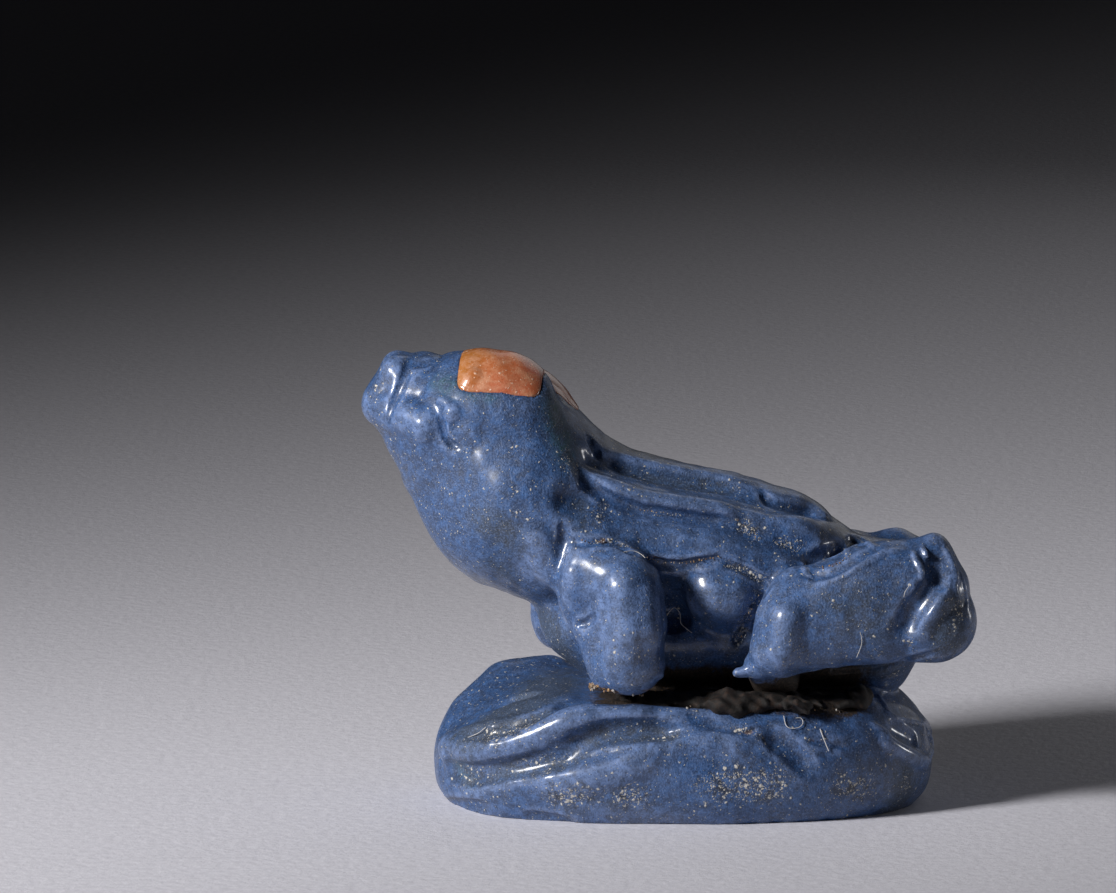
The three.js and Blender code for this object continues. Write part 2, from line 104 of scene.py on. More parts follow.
def strand(balls, widen=1.0):
    """A strand of glass through balls (x, y, z, radius), each stretched along Y."""
    def form(p):
        nearest = np.full(p.shape[1], np.inf)
        for a, b in zip(balls, balls[1:]):
            way = [b[0] - a[0], (b[1] - a[1]) / widen, b[2] - a[2]]
            square = way[0] ** 2 + way[1] ** 2 + way[2] ** 2
            px = p[0] - a[0]
            py = (p[1] - a[1]) / widen
            pz = p[2] - a[2]
            t = np.clip((px * way[0] + py * way[1] + pz * way[2]) / square, 0, 1)
            off = (px - t * way[0]) ** 2 + (py - t * way[1]) ** 2 + (pz - t * way[2]) ** 2
            np.minimum(nearest, np.sqrt(off) - a[3] - t * (b[3] - a[3]), out=nearest)
        return nearest

    return form


def lump(centre, radii, lean=0.0):
    """An ellipsoid of glass, leaning by the angle in the XZ plane."""
    cos, sin = np.cos(lean), np.sin(lean)
    rx, ry, rz = radii

    def form(p):
        x, v, z = p[0] - centre[0], p[1] - centre[1], p[2] - centre[2]
        u, w = x * cos + z * sin, z * cos - x * sin
        inner = np.sqrt((u / rx) ** 2 + (v / ry) ** 2 + (w / rz) ** 2)
        slope = np.sqrt((u / rx**2) ** 2 + (v / ry**2) ** 2 + (w / rz**2) ** 2)
        return inner * (inner - 1) / np.maximum(slope, 1e-9)

    return form


# The frog, in millimetres, with z measured from the top of the pad
pad_height = 2.2
foot_gap = 0.45
lip = 0.3
groove_width, groove_depth = 0.4, 0.12
leg_reach, leg_drop, arm_step = 3.06, 0.62, 0.95

torso_widen = 1.32
torso = strand(
    [(4.35, 0, 1.42, 0.7), (3.4, 0, 1.64, 0.86), (1.95, 0, 2.15, 1.31), (0.9, 0, 2.36, 1.4),
     (-0.7, 0, 2.66, 1.47), (-1.9, 0, 3.04, 1.52), (-2.6, 0, 3.6, 1.52)],
    torso_widen,
)
head = strand(
    [(-2.6, 0, 3.65, 1.55), (-3.0, 0, 4.3, 1.38), (-3.65, -0.04, 4.76, 1.24),
     (-4.35, -0.06, 5.2, 0.8), (-4.72, -0.06, 5.42, 0.5)],
    1.15,
)
throat = strand(
    [(-5.02, -0.06, 4.98, 0.4), (-3.95, -0.04, 3.97, 0.86), (-2.95, 0, 2.9, 1.22),
     (-2.1, 0, 2.78, 1.3)],
    1.2,
)
belly = strand(
    [(-1, 0, foot_gap + 0.6, 0.6), (1.2, 0, foot_gap + 0.55, 0.55),
     (3.2, 0, foot_gap + 0.65, 0.55)],
    2.6,
)
rump = lump((4, 0, 1.4), (0.98, 1.9, 1.08))
stem = strand([(-1.5, 0, 1.1, 0.8), (-0.9, 0, 0.5, 0.72), (1.4, 0, 0.4, 0.7),
               (3.85, 0, 0.35, 0.62)], 1.75)
flank_hollows = [
    strand([(-0.5, 2.25 * s, 1.85, 0.5), (0.4, 2.2 * s, 1.72, 0.62), (1.7, 2.2 * s, 1.55, 0.5)])
    for s in both_sides
]
belly_folds = [lump((1.02, 1.3 * s, 1.8), (0.82, 0.72, 0.64), -0.3) for s in both_sides]
lips = []
for s in both_sides:
    lips.append(strand([(-4.84, 0.32 * s, 5.64, lip), (-5.0, 0.3 * s, 5.36, 0.75 * lip),
                        (-5.2, 0.16 * s, 5.06, 0.55 * lip)]))
    lips.append(strand([(-5.16, 0.28 * s, 5.02, lip), (-4.75, 0.72 * s, 4.9, 1.1 * lip),
                        (-4.28, 1.08 * s, 4.74, 0.9 * lip)]))
mouth_line = strand([(-4.45, 0.62, 5.9, 0.05), (-4.7, 0.76, 5.42, 0.07), (-4.3, 1.1, 5.1, 0.06),
                     (-4.0, 1.45, 4.84, 0.05)])
cheek = strand([(-3.75, -0.72, 4.75, 0.6), (-3.1, -0.88, 4.86, 0.6), (-2.5, -0.95, 4.8, 0.6)])
crown_groove = strand([(-3.3, 0.35, 6.3, 0.16), (-2.5, 0.02, 5.98, 0.2), (-2.12, -0.5, 5.2, 0.14)])

# Two lines tooled along each side of the back, each place by x, its angle from the spine, the
# height of the body's middle and the reach from that to the skin
back_lines = []
for s in both_sides:
    for line in (
        [(2.6, 0.36, 2.04, 1.16), (1.95, 0.5, 2.16, 1.36), (0.9, 0.48, 2.36, 1.43),
         (-0.7, 0.52, 2.66, 1.54), (-1.3, 0.64, 2.85, 1.62)],
        [(2.5, 1.1, 2.06, 1.19), (1.95, 1.02, 2.16, 1.34), (0.9, 0.98, 2.36, 1.41),
         (-0.7, 1.08, 2.66, 1.5), (-1.75, 1.2, 2.99, 1.58)],
    ):
        seat = groove_width / 2 - groove_depth
        balls = [
            (x, s * (reach * torso_widen + seat) * np.sin(angle),
             z + (reach + seat) * np.cos(angle), groove_width / 2)
            for x, angle, z, reach in line
        ]
        back_lines.append(strand(balls))


def arm(s):
    outer = strand([(-1.35, 1.8 * s, 2.3, 0.66), (-0.78, 2.15 * s, 2.1, 0.65),
                    (-0.64, 2.26 * s, 1.35, 0.66), (-0.62, 2.3 * s, 0.72, 0.54)])
    inner = strand([(-1.5, 1.65 * s, 2.2, 0.48), (-1.48, 1.8 * s, 1.75, 0.42),
                    (-1.15, 2.05 * s, 1.05, 0.42), (-1.02, 2.2 * s, 0.52, 0.4)])
    hand = lump((-0.66, 2.38 * s, 0.62), (0.54, 0.42, 0.48))
    step = arm_step if s == RIGHT else 0.0

    def form(p):
        stepped = np.stack([p[0] + step * ease(2.4, 0.6, p[2]), p[1], p[2]])
        return melt(melt(outer(stepped), inner(stepped), 0.16), hand(stepped), 0.2)

    return form


def hind_leg(s):
    thigh = strand([(2.6, 2.2 * s, 1.48, 0.86), (3.7, 2.15 * s, 1.79, 1.04),
                    (4.44, 2.1 * s, 1.9, 0.98), (4.68, 2.12 * s, 1.52, 0.82)], 1.05)
    heel = lump((4.92, 2.12 * s, 1.34), (0.52, 0.62, 0.5))
    sole = strand([(2.4, 2.3 * s, 0.96, 0.4), (3.7, 2.3 * s, 1.1, 0.42), (4.9, 2.2 * s, 1.26, 0.4)])
    knee = lump((4.2, 2.2, 2.6) if s == RIGHT else (4.78, -2.2, 2.62), (0.32, 0.34, 0.4))
    fold = strand([(4.9, 2.95 * s, 3.15, 0.2), (4.88, 3.1 * s, 2.45, 0.22),
                   (4.7, 3.2 * s, 2.0, 0.12)])
    shin = strand([(2.3, 2.2 * s, 1.95, 0.4), (2.05, 2.46 * s, 1.5, 0.46),
                   (1.92, 2.5 * s, 0.95, 0.44)])
    foot = strand([(1.95, 2.45 * s, 0.84, 0.38), (1.62, 2.4 * s, 0.66, 0.24),
                   (1.95, 1.5 * s, 0.25, 0.44)])
    toe = strand([(1.7, 2.45 * s, 0.58, 0.16), (1.3, 2.42 * s, 0.52, 0.1)])
    drop = leg_drop if s == RIGHT else 0.0

    def form(p):
        lifted = np.stack([p[0], p[1], p[2] + drop * ease(2, 4.2, p[0])])
        leg = melt(melt(thigh(lifted), heel(lifted), 0.35), sole(lifted), 0.25)
        leg = melt(leg, knee(lifted), 0.3)
        flat = -melt(-leg, leg_reach - s * p[1], 0.5)
        folded = press(flat, fold(lifted), 0.2)
        return melt(folded, melt(shin(p), melt(foot(p), toe(p), 0.05), 0.12), 0.3)

    return form


limbs = [form(s) for s in both_sides for form in (arm, hind_leg)]


def frog_form(p):
    glass = melt_all([torso, head, throat, cheek], 0.5, p)
    glass = press(glass, melt_all(back_lines, 0.1, p), 0.3)
    glass = melt(glass, melt_all(lips, 0.1, p), 0.2)
    glass = press(glass, mouth_line(p), 0.2)
    glass = press(glass, melt_all(flank_hollows, 0.1, p), 0.2)
    glass = melt(glass, melt_all(belly_folds, 0.1, p), 0.12)
    glass = melt(glass, belly(p), 0.2)
    glass = melt(glass, stem(p), 0.4)
    glass = melt(glass, rump(p), 0.4)
    return melt(glass, melt_all(limbs, 0.1, p), 0.2)


# The pad is an oval cushion, lower at both ends, with a roll laid along its left front and a lobe
# turned up at the right front. It was formed over a flat block, so its underside is flat.
pad_length, pad_width, pad_rounding = 9.1, 5.9, 0.55
pad_middle, pad_squareness = 0.31, 2.35
pad_cut = 0.12 * pad_height  # it was formed this far under the ground, and cut flat there


def on_pad(places):
    """Balls given as shares of half the pad's length and width and of its height."""
    return strand([
        (pad_middle + along * pad_length / 2, across * pad_width / 2,
         up * pad_height, r * pad_height)
        for along, across, up, r in places
    ])


front_roll = on_pad([(-0.9, -0.36, 0.48, 0.15), (-0.72, -0.64, 0.66, 0.16),
                     (-0.38, -0.82, 0.84, 0.15), (0, -0.82, 0.84, 0.11), (0.3, -0.76, 0.82, 0.05)])
front_lobe = on_pad([(-0.54, 0.66, 0.86, 0.16), (-0.7, 0.5, 0.84, 0.15), (-0.8, 0.26, 0.7, 0.13)])
valley = on_pad([(-0.76, -0.84, 0.34, 0.05), (-0.5, -0.98, 0.5, 0.07), (-0.2, -1.03, 0.68, 0.07),
                 (0.02, -1.03, 0.74, 0.04)])
end_fold = on_pad([(0.8, -0.34, 0.78, 0.07), (0.9, -0.18, 0.62, 0.09), (0.945, 0.03, 0.54, 0.09)])
end_notch = on_pad([(-1.02, 0, 0.62, 0.12), (-0.86, -0.1, 0.8, 0.09), (-0.6, -0.35, 0.92, 0.05)])


def pad_form(p):
    along = (p[0] - pad_middle) / (pad_length / 2)
    across = p[1] / (pad_width / 2)
    reach = np.abs(along) ** pad_squareness + np.abs(across) ** pad_squareness
    reach = reach ** (1 / pad_squareness)
    outward = np.hypot(p[0] - pad_middle, p[1]) * (1 - 1 / np.maximum(reach, 0.05))
    front = (0.34 - 0.26 * ease(-0.2, 0.5, across)) * ease(0.5, 1, -along)
    top = pad_height * (0.98 - front - 0.18 * ease(0.72, 1, along) - 0.1 * across**4)
    upper = -melt(-outward, top - p[2], 2 * pad_rounding)
    whole = -melt(-upper, p[2] + pad_cut, 2 * pad_rounding)
    rolled = melt(melt(whole, front_roll(p), 0.15), front_lobe(p), 0.4)
    rolled = melt(rolled, end_fold(p), 0.2)
    return press(press(rolled, valley(p), 0.2), end_notch(p), 0.16)


# The eyes' places, on the frog. The head is turned and tilted, so the right one is lower.
eye_length, eye_width, eye_depth, eye_rim = 1.58, 1.24, 0.95, 0.24
eye_places = {
    LEFT: ((-3.03, -0.86, 5.62), (-0.05, -0.64, 0.77), (0.99, 0, -0.15)),
    RIGHT: ((-2.43, 0.52, 5.06), (0.55, 0.36, 0.75), (0.74, 0.05, -0.66)),
}
eye_frames = {}
for s, (middle, outward, along) in eye_places.items():
    out_axis = np.array(outward) / np.linalg.norm(outward)
    along_axis = np.array(along) - out_axis * (np.array(along) @ out_axis)
    along_axis /= np.linalg.norm(along_axis)
    axes = np.stack([along_axis, np.cross(out_axis, along_axis), out_axis])
    eye_frames[s] = (np.array(middle) + (0, 0, pad_height), axes)


def in_eye_frame(s, p):
    middle, axes = eye_frames[s]
    return axes @ (p - middle[:, None])


def figure_form(p):
    """The whole figure, z measured from the ground, before its fine marks."""
    from_pad = np.stack([p[0], p[1], p[2] - pad_height])
    swellings = []
    for s in both_sides:
        reach = (eye_length / 2 + eye_rim, eye_width / 2 + eye_rim, eye_depth / 2)
        form = lump((-0.3 * eye_rim, 0.75 * s * eye_rim, -0.1), reach)
        swellings.append(form(in_eye_frame(s, p)))
    glass = melt(frog_form(from_pad), melt(swellings[0], swellings[1], 0.2), 0.4)
    return melt(press(glass, crown_groove(from_pad), 0.25), pad_form(p), 0.12)


# Fine marks. Each is (width, depth, places): pressed in by the depth, or raised where that is
# less than 0. A place is x and z on the amulet's middle plane, where its line of sight crosses.
creases = {
    "mouth slit": (0.13, 0.18, [(-4.62, 8.08), (-4.68, 7.84), (-4.77, 7.58), (-4.88, 7.35),
        (-4.97, 7.11), (-5.02, 6.91)]),
    "mouth corner": (0.1, 0.18, [(-4.05, 6.94), (-4.03, 6.78), (-3.98, 6.61), (-3.87, 6.49),
        (-3.74, 6.43)]),
    "throat": (0.15, 0.14, [(-1.9, 5.06), (-1.84, 4.87), (-1.84, 4.67), (-1.88, 4.43),
        (-1.95, 4.17)]),
    "lower back line": (0.2, 0.22, [(-1.7, 6.27), (-1.55, 5.95), (-1.44, 5.79), (-1.19, 5.61),
        (-0.94, 5.48), (-0.68, 5.37), (-0.43, 5.28), (0.11, 5.2), (0.62, 5.11), (0.98, 5.09),
        (1.35, 4.98)]),
    "upper back line": (0.17, 0.17, [(-1.23, 6.21), (-0.83, 6.05), (-0.47, 5.94), (-0.1, 5.84),
        (0.44, 5.77), (0.98, 5.68), (1.34, 5.62), (1.56, 5.59)]),
    "rear back line": (0.15, 0.15, [(1.74, 5.59), (1.85, 5.42), (2.14, 5.31), (2.43, 5.24),
        (2.79, 5.15), (3.12, 5.02)]),
    "over the arm": (0.14, 0.17, [(-1.81, 4.71), (-1.48, 4.67), (-1.19, 4.67), (-0.9, 4.65),
        (-0.65, 4.51), (-0.39, 4.41)]),
    "over the hollow": (0.16, 0.2, [(-0.39, 4.41), (-0.21, 4.32), (0.04, 4.25), (0.33, 4.25),
        (0.62, 4.32), (0.98, 4.4)]),
    "over the belly": (0.11, 0.11, [(0.98, 4.36), (1.35, 4.23), (1.56, 4.12), (1.82, 3.97),
        (1.91, 3.84)]),
    "down to the foot": (0.13, 0.1, [(1.89, 3.84), (1.75, 3.66), (1.6, 3.48), (1.48, 3.22),
        (1.31, 2.96), (1.22, 2.74)]),
    "arm slit": (0.1, 0.17, [(-1.61, 3.18), (-1.48, 3.18), (-1.37, 3.24), (-1.26, 3.37)]),
    "arm notch": (0.07, 0.07, [(-1.28, 3.64), (-1.28, 3.49), (-1.24, 3.37)]),
    "over the thigh": (0.15, 0.16, [(2.49, 4.16), (2.71, 4.05), (3.01, 4.1), (3.25, 4.23),
        (3.47, 4.38), (3.77, 4.54)]),
    "under the leg": (0.12, 0.13, [(2.44, 2.33), (3.17, 2.35), (3.77, 2.39), (4.16, 2.48),
        (4.62, 2.59), (4.98, 2.7)]),
    "slit in the pad": (0.08, 0.1, [(2.59, 1.04), (2.85, 0.99), (3.14, 0.93), (3.32, 0.89)]),
    "shoulder crack": (0.07, 0.07, [(1.37, 1.13), (1.54, 1.17), (1.66, 1.25)]),
    "edge of the pad's top": (0.22, 0.17, [(-3.78, 1.02), (-3.4, 1.08), (-3, 1.17), (-2.6, 1.34),
        (-2.26, 1.5), (-1.88, 1.69), (-1.53, 1.84)]),
}
hollows = {
    "behind the nose": (0.14, 0.1, [(-4.6, 7.97), (-4.46, 7.97), (-4.3, 8)]),
    "back pit": (0.2, 0.1, [(-1.41, 6.61), (-1.34, 6.45), (-1.23, 6.28)]),
    "upper back valley": (0.26, 0.07, [(-1.08, 6.21), (-0.65, 6.06), (-0.1, 5.9), (0.62, 5.81),
        (1.34, 5.7)]),
    "back notch": (0.13, 0.1, [(1.76, 5.57), (1.85, 5.46), (1.98, 5.37)]),
    "flank": (0.4, 0.3, [(-0.03, 3.9), (0.08, 3.59), (0.15, 3.22)]),
    "thigh pit": (0.26, 0.22, [(2.58, 4.3), (2.8, 4.36), (3.01, 4.43), (3.19, 4.54)]),
    "fold at the back's end": (0.12, 0.12, [(3.25, 4.63), (3.37, 4.71), (3.56, 4.63)]),
    "behind the flap": (0.3, 0.26, [(4.9, 4.51), (4.93, 4.23), (4.88, 3.94), (4.7, 3.72),
        (4.52, 3.48), (4.38, 3.2), (4.22, 3.02)]),
    "between the facets": (0.06, 0.08, [(4.59, 4.51), (4.68, 4.34), (4.72, 4.21)]),
    "behind the pad ridge": (0.25, 0.14, [(4.12, 1.28), (4.35, 1.15), (4.59, 1.01)]),
    "first pad valley": (0.3, 0.3, [(-1.91, 0.82), (-1.59, 0.99), (-1.31, 1.12), (-1.04, 1.19),
        (-0.64, 1.21), (-0.19, 1.21), (0.27, 1.13)]),
    "second pad valley": (0.28, 0.27, [(-3.82, 0.45), (-3.55, 0.38), (-3.19, 0.43), (-2.82, 0.53),
        (-2.37, 0.6), (-1.91, 0.69), (-1.51, 0.82)]),
    "pad dent": (0.28, 0.2, [(1.9, 1.1), (2.12, 0.97), (2.32, 0.8), (2.48, 0.64), (2.59, 0.49)]),
    "pad shoulder": (0.16, 0.06, [(0.32, 1.56), (0.72, 1.37), (1.08, 1.23), (1.45, 1.12)]),
    "front lift": (0.18, 0.15, [(-3.91, -0.12), (-3.7, -0.16), (-3.46, -0.18), (-3.26, -0.2)]),
    "side lift": (0.15, 0.13, [(-2.51, -0.34), (-2.19, -0.4), (-1.91, -0.44), (-1.66, -0.47)]),
}
raised = {
    "nose": (0.34, -0.06, [(-4.97, 7.91), (-4.91, 7.84)]),
    "lower lip": (0.45, -0.15, [(-4.72, 7.02), (-4.53, 6.91), (-4.37, 6.82)]),
    "corner bump": (0.24, -0.13, [(-3.94, 7.09), (-3.81, 7.03)]),
    "mouth knob": (0.24, -0.15, [(-3.6, 6.72), (-3.52, 6.67)]),
    "corner edge": (0.06, -0.06, [(-3.96, 6.85), (-3.92, 6.69), (-3.83, 6.56)]),
    "cheek bead": (0.1, -0.05, [(-3.78, 6.16), (-3.69, 6.16)]),
    "cheek grains": (0.08, -0.05, [(-3.58, 6.41), (-3.51, 6.34)]),
    "neck": (0.34, -0.12, [(-2.4, 4.91), (-2.26, 4.58), (-2.13, 4.21), (-2.04, 3.95)]),
    "pit edge": (0.06, -0.07, [(-1.5, 6.71), (-1.46, 6.54), (-1.37, 6.36), (-1.26, 6.23)]),
    "sheet over the back": (0.26, -0.12, [(-1.37, 5.94), (-0.97, 5.7), (-0.47, 5.5), (0.26, 5.37),
        (0.98, 5.29), (1.44, 5.18)]),
    "back ridge": (0.24, -0.07, [(-0.97, 6.27), (-0.47, 6.14), (0.26, 6.01), (0.98, 5.88),
        (1.63, 5.77)]),
    "flank lip": (0.09, -0.06, [(-0.37, 4.52), (-0.1, 4.43), (0.33, 4.4), (0.69, 4.45),
        (1.06, 4.52)]),
    "belly lip": (0.07, -0.04, [(1.17, 4.36), (1.56, 4.23), (1.89, 4.06)]),
    "arm ridge": (0.5, -0.16, [(-0.86, 3.99), (-0.72, 3.7), (-0.64, 3.4), (-0.64, 3.11),
        (-0.79, 2.74), (-0.9, 2.44)]),
    "arm front": (0.26, -0.08, [(-1.7, 4.17), (-1.73, 3.81), (-1.68, 3.51)]),
    "arm edge": (0.06, -0.04, [(-0.25, 4.03), (-0.14, 3.72), (-0.06, 3.4), (-0.01, 3.07)]),
    "arm right face": (0.32, -0.13, [(-0.36, 3.94), (-0.28, 3.57), (-0.23, 3.11), (-0.21, 2.67)]),
    "eye corner": (0.22, -0.07, [(-3.58, 7.62), (-3.43, 7.77)]),
    "neck fill": (0.4, -0.04, [(-1.97, 5.72), (-1.97, 5.46), (-1.95, 5.2)]),
    "brow": (0.12, -0.05, [(-4.15, 7.33), (-3.9, 7.22)]),
    "hook": (0.07, -0.1, [(2.45, 4.32), (2.49, 4.21), (2.58, 4.1), (2.72, 4.06)]),
    "back's end line": (0.06, -0.07, [(3.17, 4.8), (3.25, 4.62), (3.3, 4.41)]),
    "back's end roll": (0.1, -0.08, [(3.3, 4.82), (3.48, 4.76), (3.66, 4.67), (3.81, 4.56)]),
    "facet one": (0.07, -0.1, [(4.46, 4.52), (4.57, 4.3), (4.66, 4.14), (4.65, 3.94)]),
    "facet two": (0.06, -0.09, [(4.64, 4.62), (4.75, 4.45), (4.79, 4.3), (4.72, 4.1)]),
    "thigh edge": (0.12, -0.05, [(2.8, 3.99), (3.16, 4.05), (3.56, 4.28), (3.97, 4.51),
        (4.33, 4.54)]),
    "flap": (0.08, -0.08, [(4.65, 3.94), (4.48, 3.77), (4.39, 3.59), (4.29, 3.38), (4.18, 3.2)]),
    "knee bulge": (0.3, -0.1, [(5.03, 3.73), (4.87, 3.46), (4.69, 3.18), (4.54, 2.89)]),
    "rear roll": (0.1, -0.12, [(5.06, 4.58), (5.17, 4.38), (5.24, 4.17), (5.28, 3.92)]),
    "rear line": (0.06, -0.08, [(5.23, 3.94), (5.28, 3.72), (5.34, 3.51)]),
    "rear outer line": (0.07, -0.08, [(5.33, 4.14), (5.41, 3.92), (5.44, 3.7), (5.46, 3.48)]),
    "shin": (0.42, -0.14, [(2.22, 3.51), (2.18, 3.14), (2.15, 2.81), (2.08, 2.52)]),
    "small toe": (0.1, -0.08, [(1.21, 2.26), (1.35, 2.3), (1.53, 2.33)]),
    "hand toe": (0.11, -0.08, [(-0.14, 2.24), (-0.03, 2.24)]),
    "under line one": (0.06, -0.06, [(3.77, 2.24), (4, 2.32), (4.24, 2.39)]),
    "under line two": (0.05, -0.06, [(3.93, 2.17), (4.15, 2.22), (4.33, 2.3)]),
    "stem line one": (0.08, -0.1, [(3.6, 1.95), (3.7, 1.84), (3.77, 1.73)]),
    "stem line two": (0.07, -0.1, [(3.84, 1.89), (3.93, 1.76), (4.04, 1.61)]),
    "stem line three": (0.07, -0.08, [(3.99, 1.6), (4.1, 1.52), (4.24, 1.43)]),
    "upper pad roll": (0.34, -0.22, [(-3.97, 0.88), (-3.44, 0.84), (-2.93, 0.89), (-2.42, 1.1),
        (-1.88, 1.37), (-1.44, 1.63)]),
    "second pad roll": (0.2, -0.08, [(-1.19, 1.58), (-0.73, 1.56), (-0.28, 1.56)]),
    "middle pad roll": (0.34, -0.09, [(-0.97, 0.82), (-0.28, 0.95), (0.45, 1.02), (1.17, 0.97),
        (1.72, 0.82)]),
    "lower pad roll": (0.4, -0.17, [(-2.46, 0.23), (-1.91, 0.27), (-1.37, 0.34), (-0.82, 0.49),
        (-0.1, 0.75)]),
    "pad rear ridge": (0.2, -0.18, [(3.9, 1.13), (4.08, 0.97), (4.32, 0.82), (4.59, 0.69),
        (4.77, 0.62)]),
    "pad rear facet": (0.08, -0.1, [(3.73, 1.34), (3.9, 1.25), (4.08, 1.15)]),
    "pad rear line": (0.06, -0.07, [(4.13, 1.45), (4.44, 1.41), (4.73, 1.34)]),
    "pad end edge": (0.09, -0.12, [(4.75, 1.21), (4.83, 1.02), (4.83, 0.82), (4.75, 0.64)]),
    "pad end flat": (0.05, -0.04, [(4.36, 0.4), (4.32, 0.12), (4.21, -0.12)]),
}


nearest_y, sight_rounds = -4.0, 70  # the search starts in front of the glass


def sight_places(places):
    """Finds where the lines of sight through places on the middle plane meet the glass."""
    through = np.array([(x, 0.0, z) for x, z in places]).T
    way = through - sight_eye[:, None]
    way /= np.linalg.norm(way, axis=0)
    reach = (nearest_y - sight_eye[1]) / way[1]
    best, best_gap = reach.copy(), np.full(reach.shape, np.inf)
    for _ in range(sight_rounds):
        gap = figure_form(sight_eye[:, None] + reach * way)
        closer = np.abs(gap) < best_gap
        best[closer], best_gap[closer] = reach[closer], np.abs(gap)[closer]
        reach = reach + np.clip(0.7 * gap, -0.3, 0.3)
    return (sight_eye[:, None] + best * way).T


def in_short_steps(places, step):
    ends = np.array(places)
    path = [ends[:1]]
    for a, b in zip(ends, ends[1:]):
        count = max(int(np.ceil(np.linalg.norm(b - a) / step)), 1)
        path.append(a + (b - a) * (np.arange(1, count + 1) / count)[:, None])
    return np.concatenate(path)


mark_step = 0.1


def lay_on_glass(rows):
    """Lays each row's path on the glass in short straight stretches, not across gaps in it."""
    paths = [in_short_steps(places, mark_step) for _, _, places in rows]
    on_glass = sight_places(np.concatenate(paths))
    laid_rows = []
    for (width, depth, _), path in zip(rows, paths):
        laid, on_glass = on_glass[: len(path)], on_glass[len(path) :]
        share = np.linspace(0, 1, len(laid))
        fade = ease(0, 0.2, share) * ease(1, 0.8, share) * 0.85 + 0.15
        joined = np.linalg.norm(np.diff(laid, axis=0), axis=1) < 4 * mark_step
        laid_rows.append((width, depth, laid, fade, joined))
    return laid_rows


def nearness(p, row, power):
    """How strongly a laid path acts at the points near it: 1 on the path, 0 a width away."""
    width, _, path, fade, joined = row
    low, high = path.min(0) - width, path.max(0) + width
    near = np.all((p.T > low) & (p.T < high), axis=1).nonzero()[0]
    q = p[:, near].T
    strongest = np.zeros(len(near))
    for i in range(len(path) - 1):
        a, b = path[i], path[i + 1]
        if not joined[i]:
            b = a
        way = b - a
        square = max(way @ way, 1e-12)
        t = np.clip((q - a) @ way / square, 0, 1)
        off = np.linalg.norm(q - a - t[:, None] * way, axis=1) / width
        inside = np.maximum(1 - off if power < 2 else 1 - off * off, 0)
        strength = inside**power * (fade[i] + t * (fade[i + 1] - fade[i]))
        np.maximum(strongest, strength, out=strongest)
    return near, strongest


sharp, smooth = 1.6, 2.0
marks = [(row, sharp) for row in lay_on_glass([*creases.values()])]
marks += [(row, smooth) for row in lay_on_glass([*hollows.values(), *raised.values()])]

# The hand's unevenness: slow waves over the whole glass, the same each time
rng = np.random.default_rng(7)


def random_waves(*kinds):
    """Waves that run every way, for each kind of (size, height, count)."""
    return [
        (rng.normal(size=3) / size, rng.uniform(0, 2 * np.pi), height)
        for size, height, count in kinds
        for _ in range(count)
    ]


def add_waves(total, waves, p):
    for direction, phase, height in waves:
        total += height * np.sin(direction @ p + phase)
    return total


hand_waves = random_waves((0.5, 0.006, 14), (0.16, 0.0018, 22))


def mark_depth(p):
    """How far the fine marks press the glass in at each point."""
    total = add_waves(np.zeros(p.shape[1]), hand_waves, p)
    for row, power in marks:
        near, strength = nearness(p, row, power)
        total[near] += row[1] * strength
    return total


# How far each bead lies from the middle of its swelling, along and across, and how much wider it is
bead_shift = {LEFT: (0.07, 0.0, 0.02), RIGHT: (0.0, -0.12, 0.1)}
bead_trim, bead_squareness = 0.04, 6


def eye_prism(s, p, room):
    """A rounded rectangle in the eye's frame, run along its outward axis down into the head."""
    q = in_eye_frame(s, p)
    along, across, wider = bead_shift[s]
    half_length = eye_length / 2 - bead_trim + room
    half_width = eye_width / 2 + wider + room
    around = (np.abs((q[0] - along) / half_length) ** bead_squareness
              + np.abs((q[1] - across) / half_width) ** bead_squareness)
    side = (around ** (1 / bead_squareness) - 1) * half_width
    return np.maximum(side, -q[2] - eye_depth / 2 - room)


def blue_skin(p):
    return figure_form(p) + mark_depth(p)


socket_overlap = 0.012  # the bead reaches this far into the wall of its socket


def blue_form(p):
    glass = np.maximum(blue_skin(p), -p[2])
    for s in both_sides:
        glass = np.maximum(glass, -eye_prism(s, p, -socket_overlap))
    return glass


def in_parts(form, p, size=20000):
    parts = [p[:, i : i + size] for i in range(0, p.shape[1], size)]
    with ThreadPoolExecutor() as pool:
        return np.concatenate(list(pool.map(form, parts)))


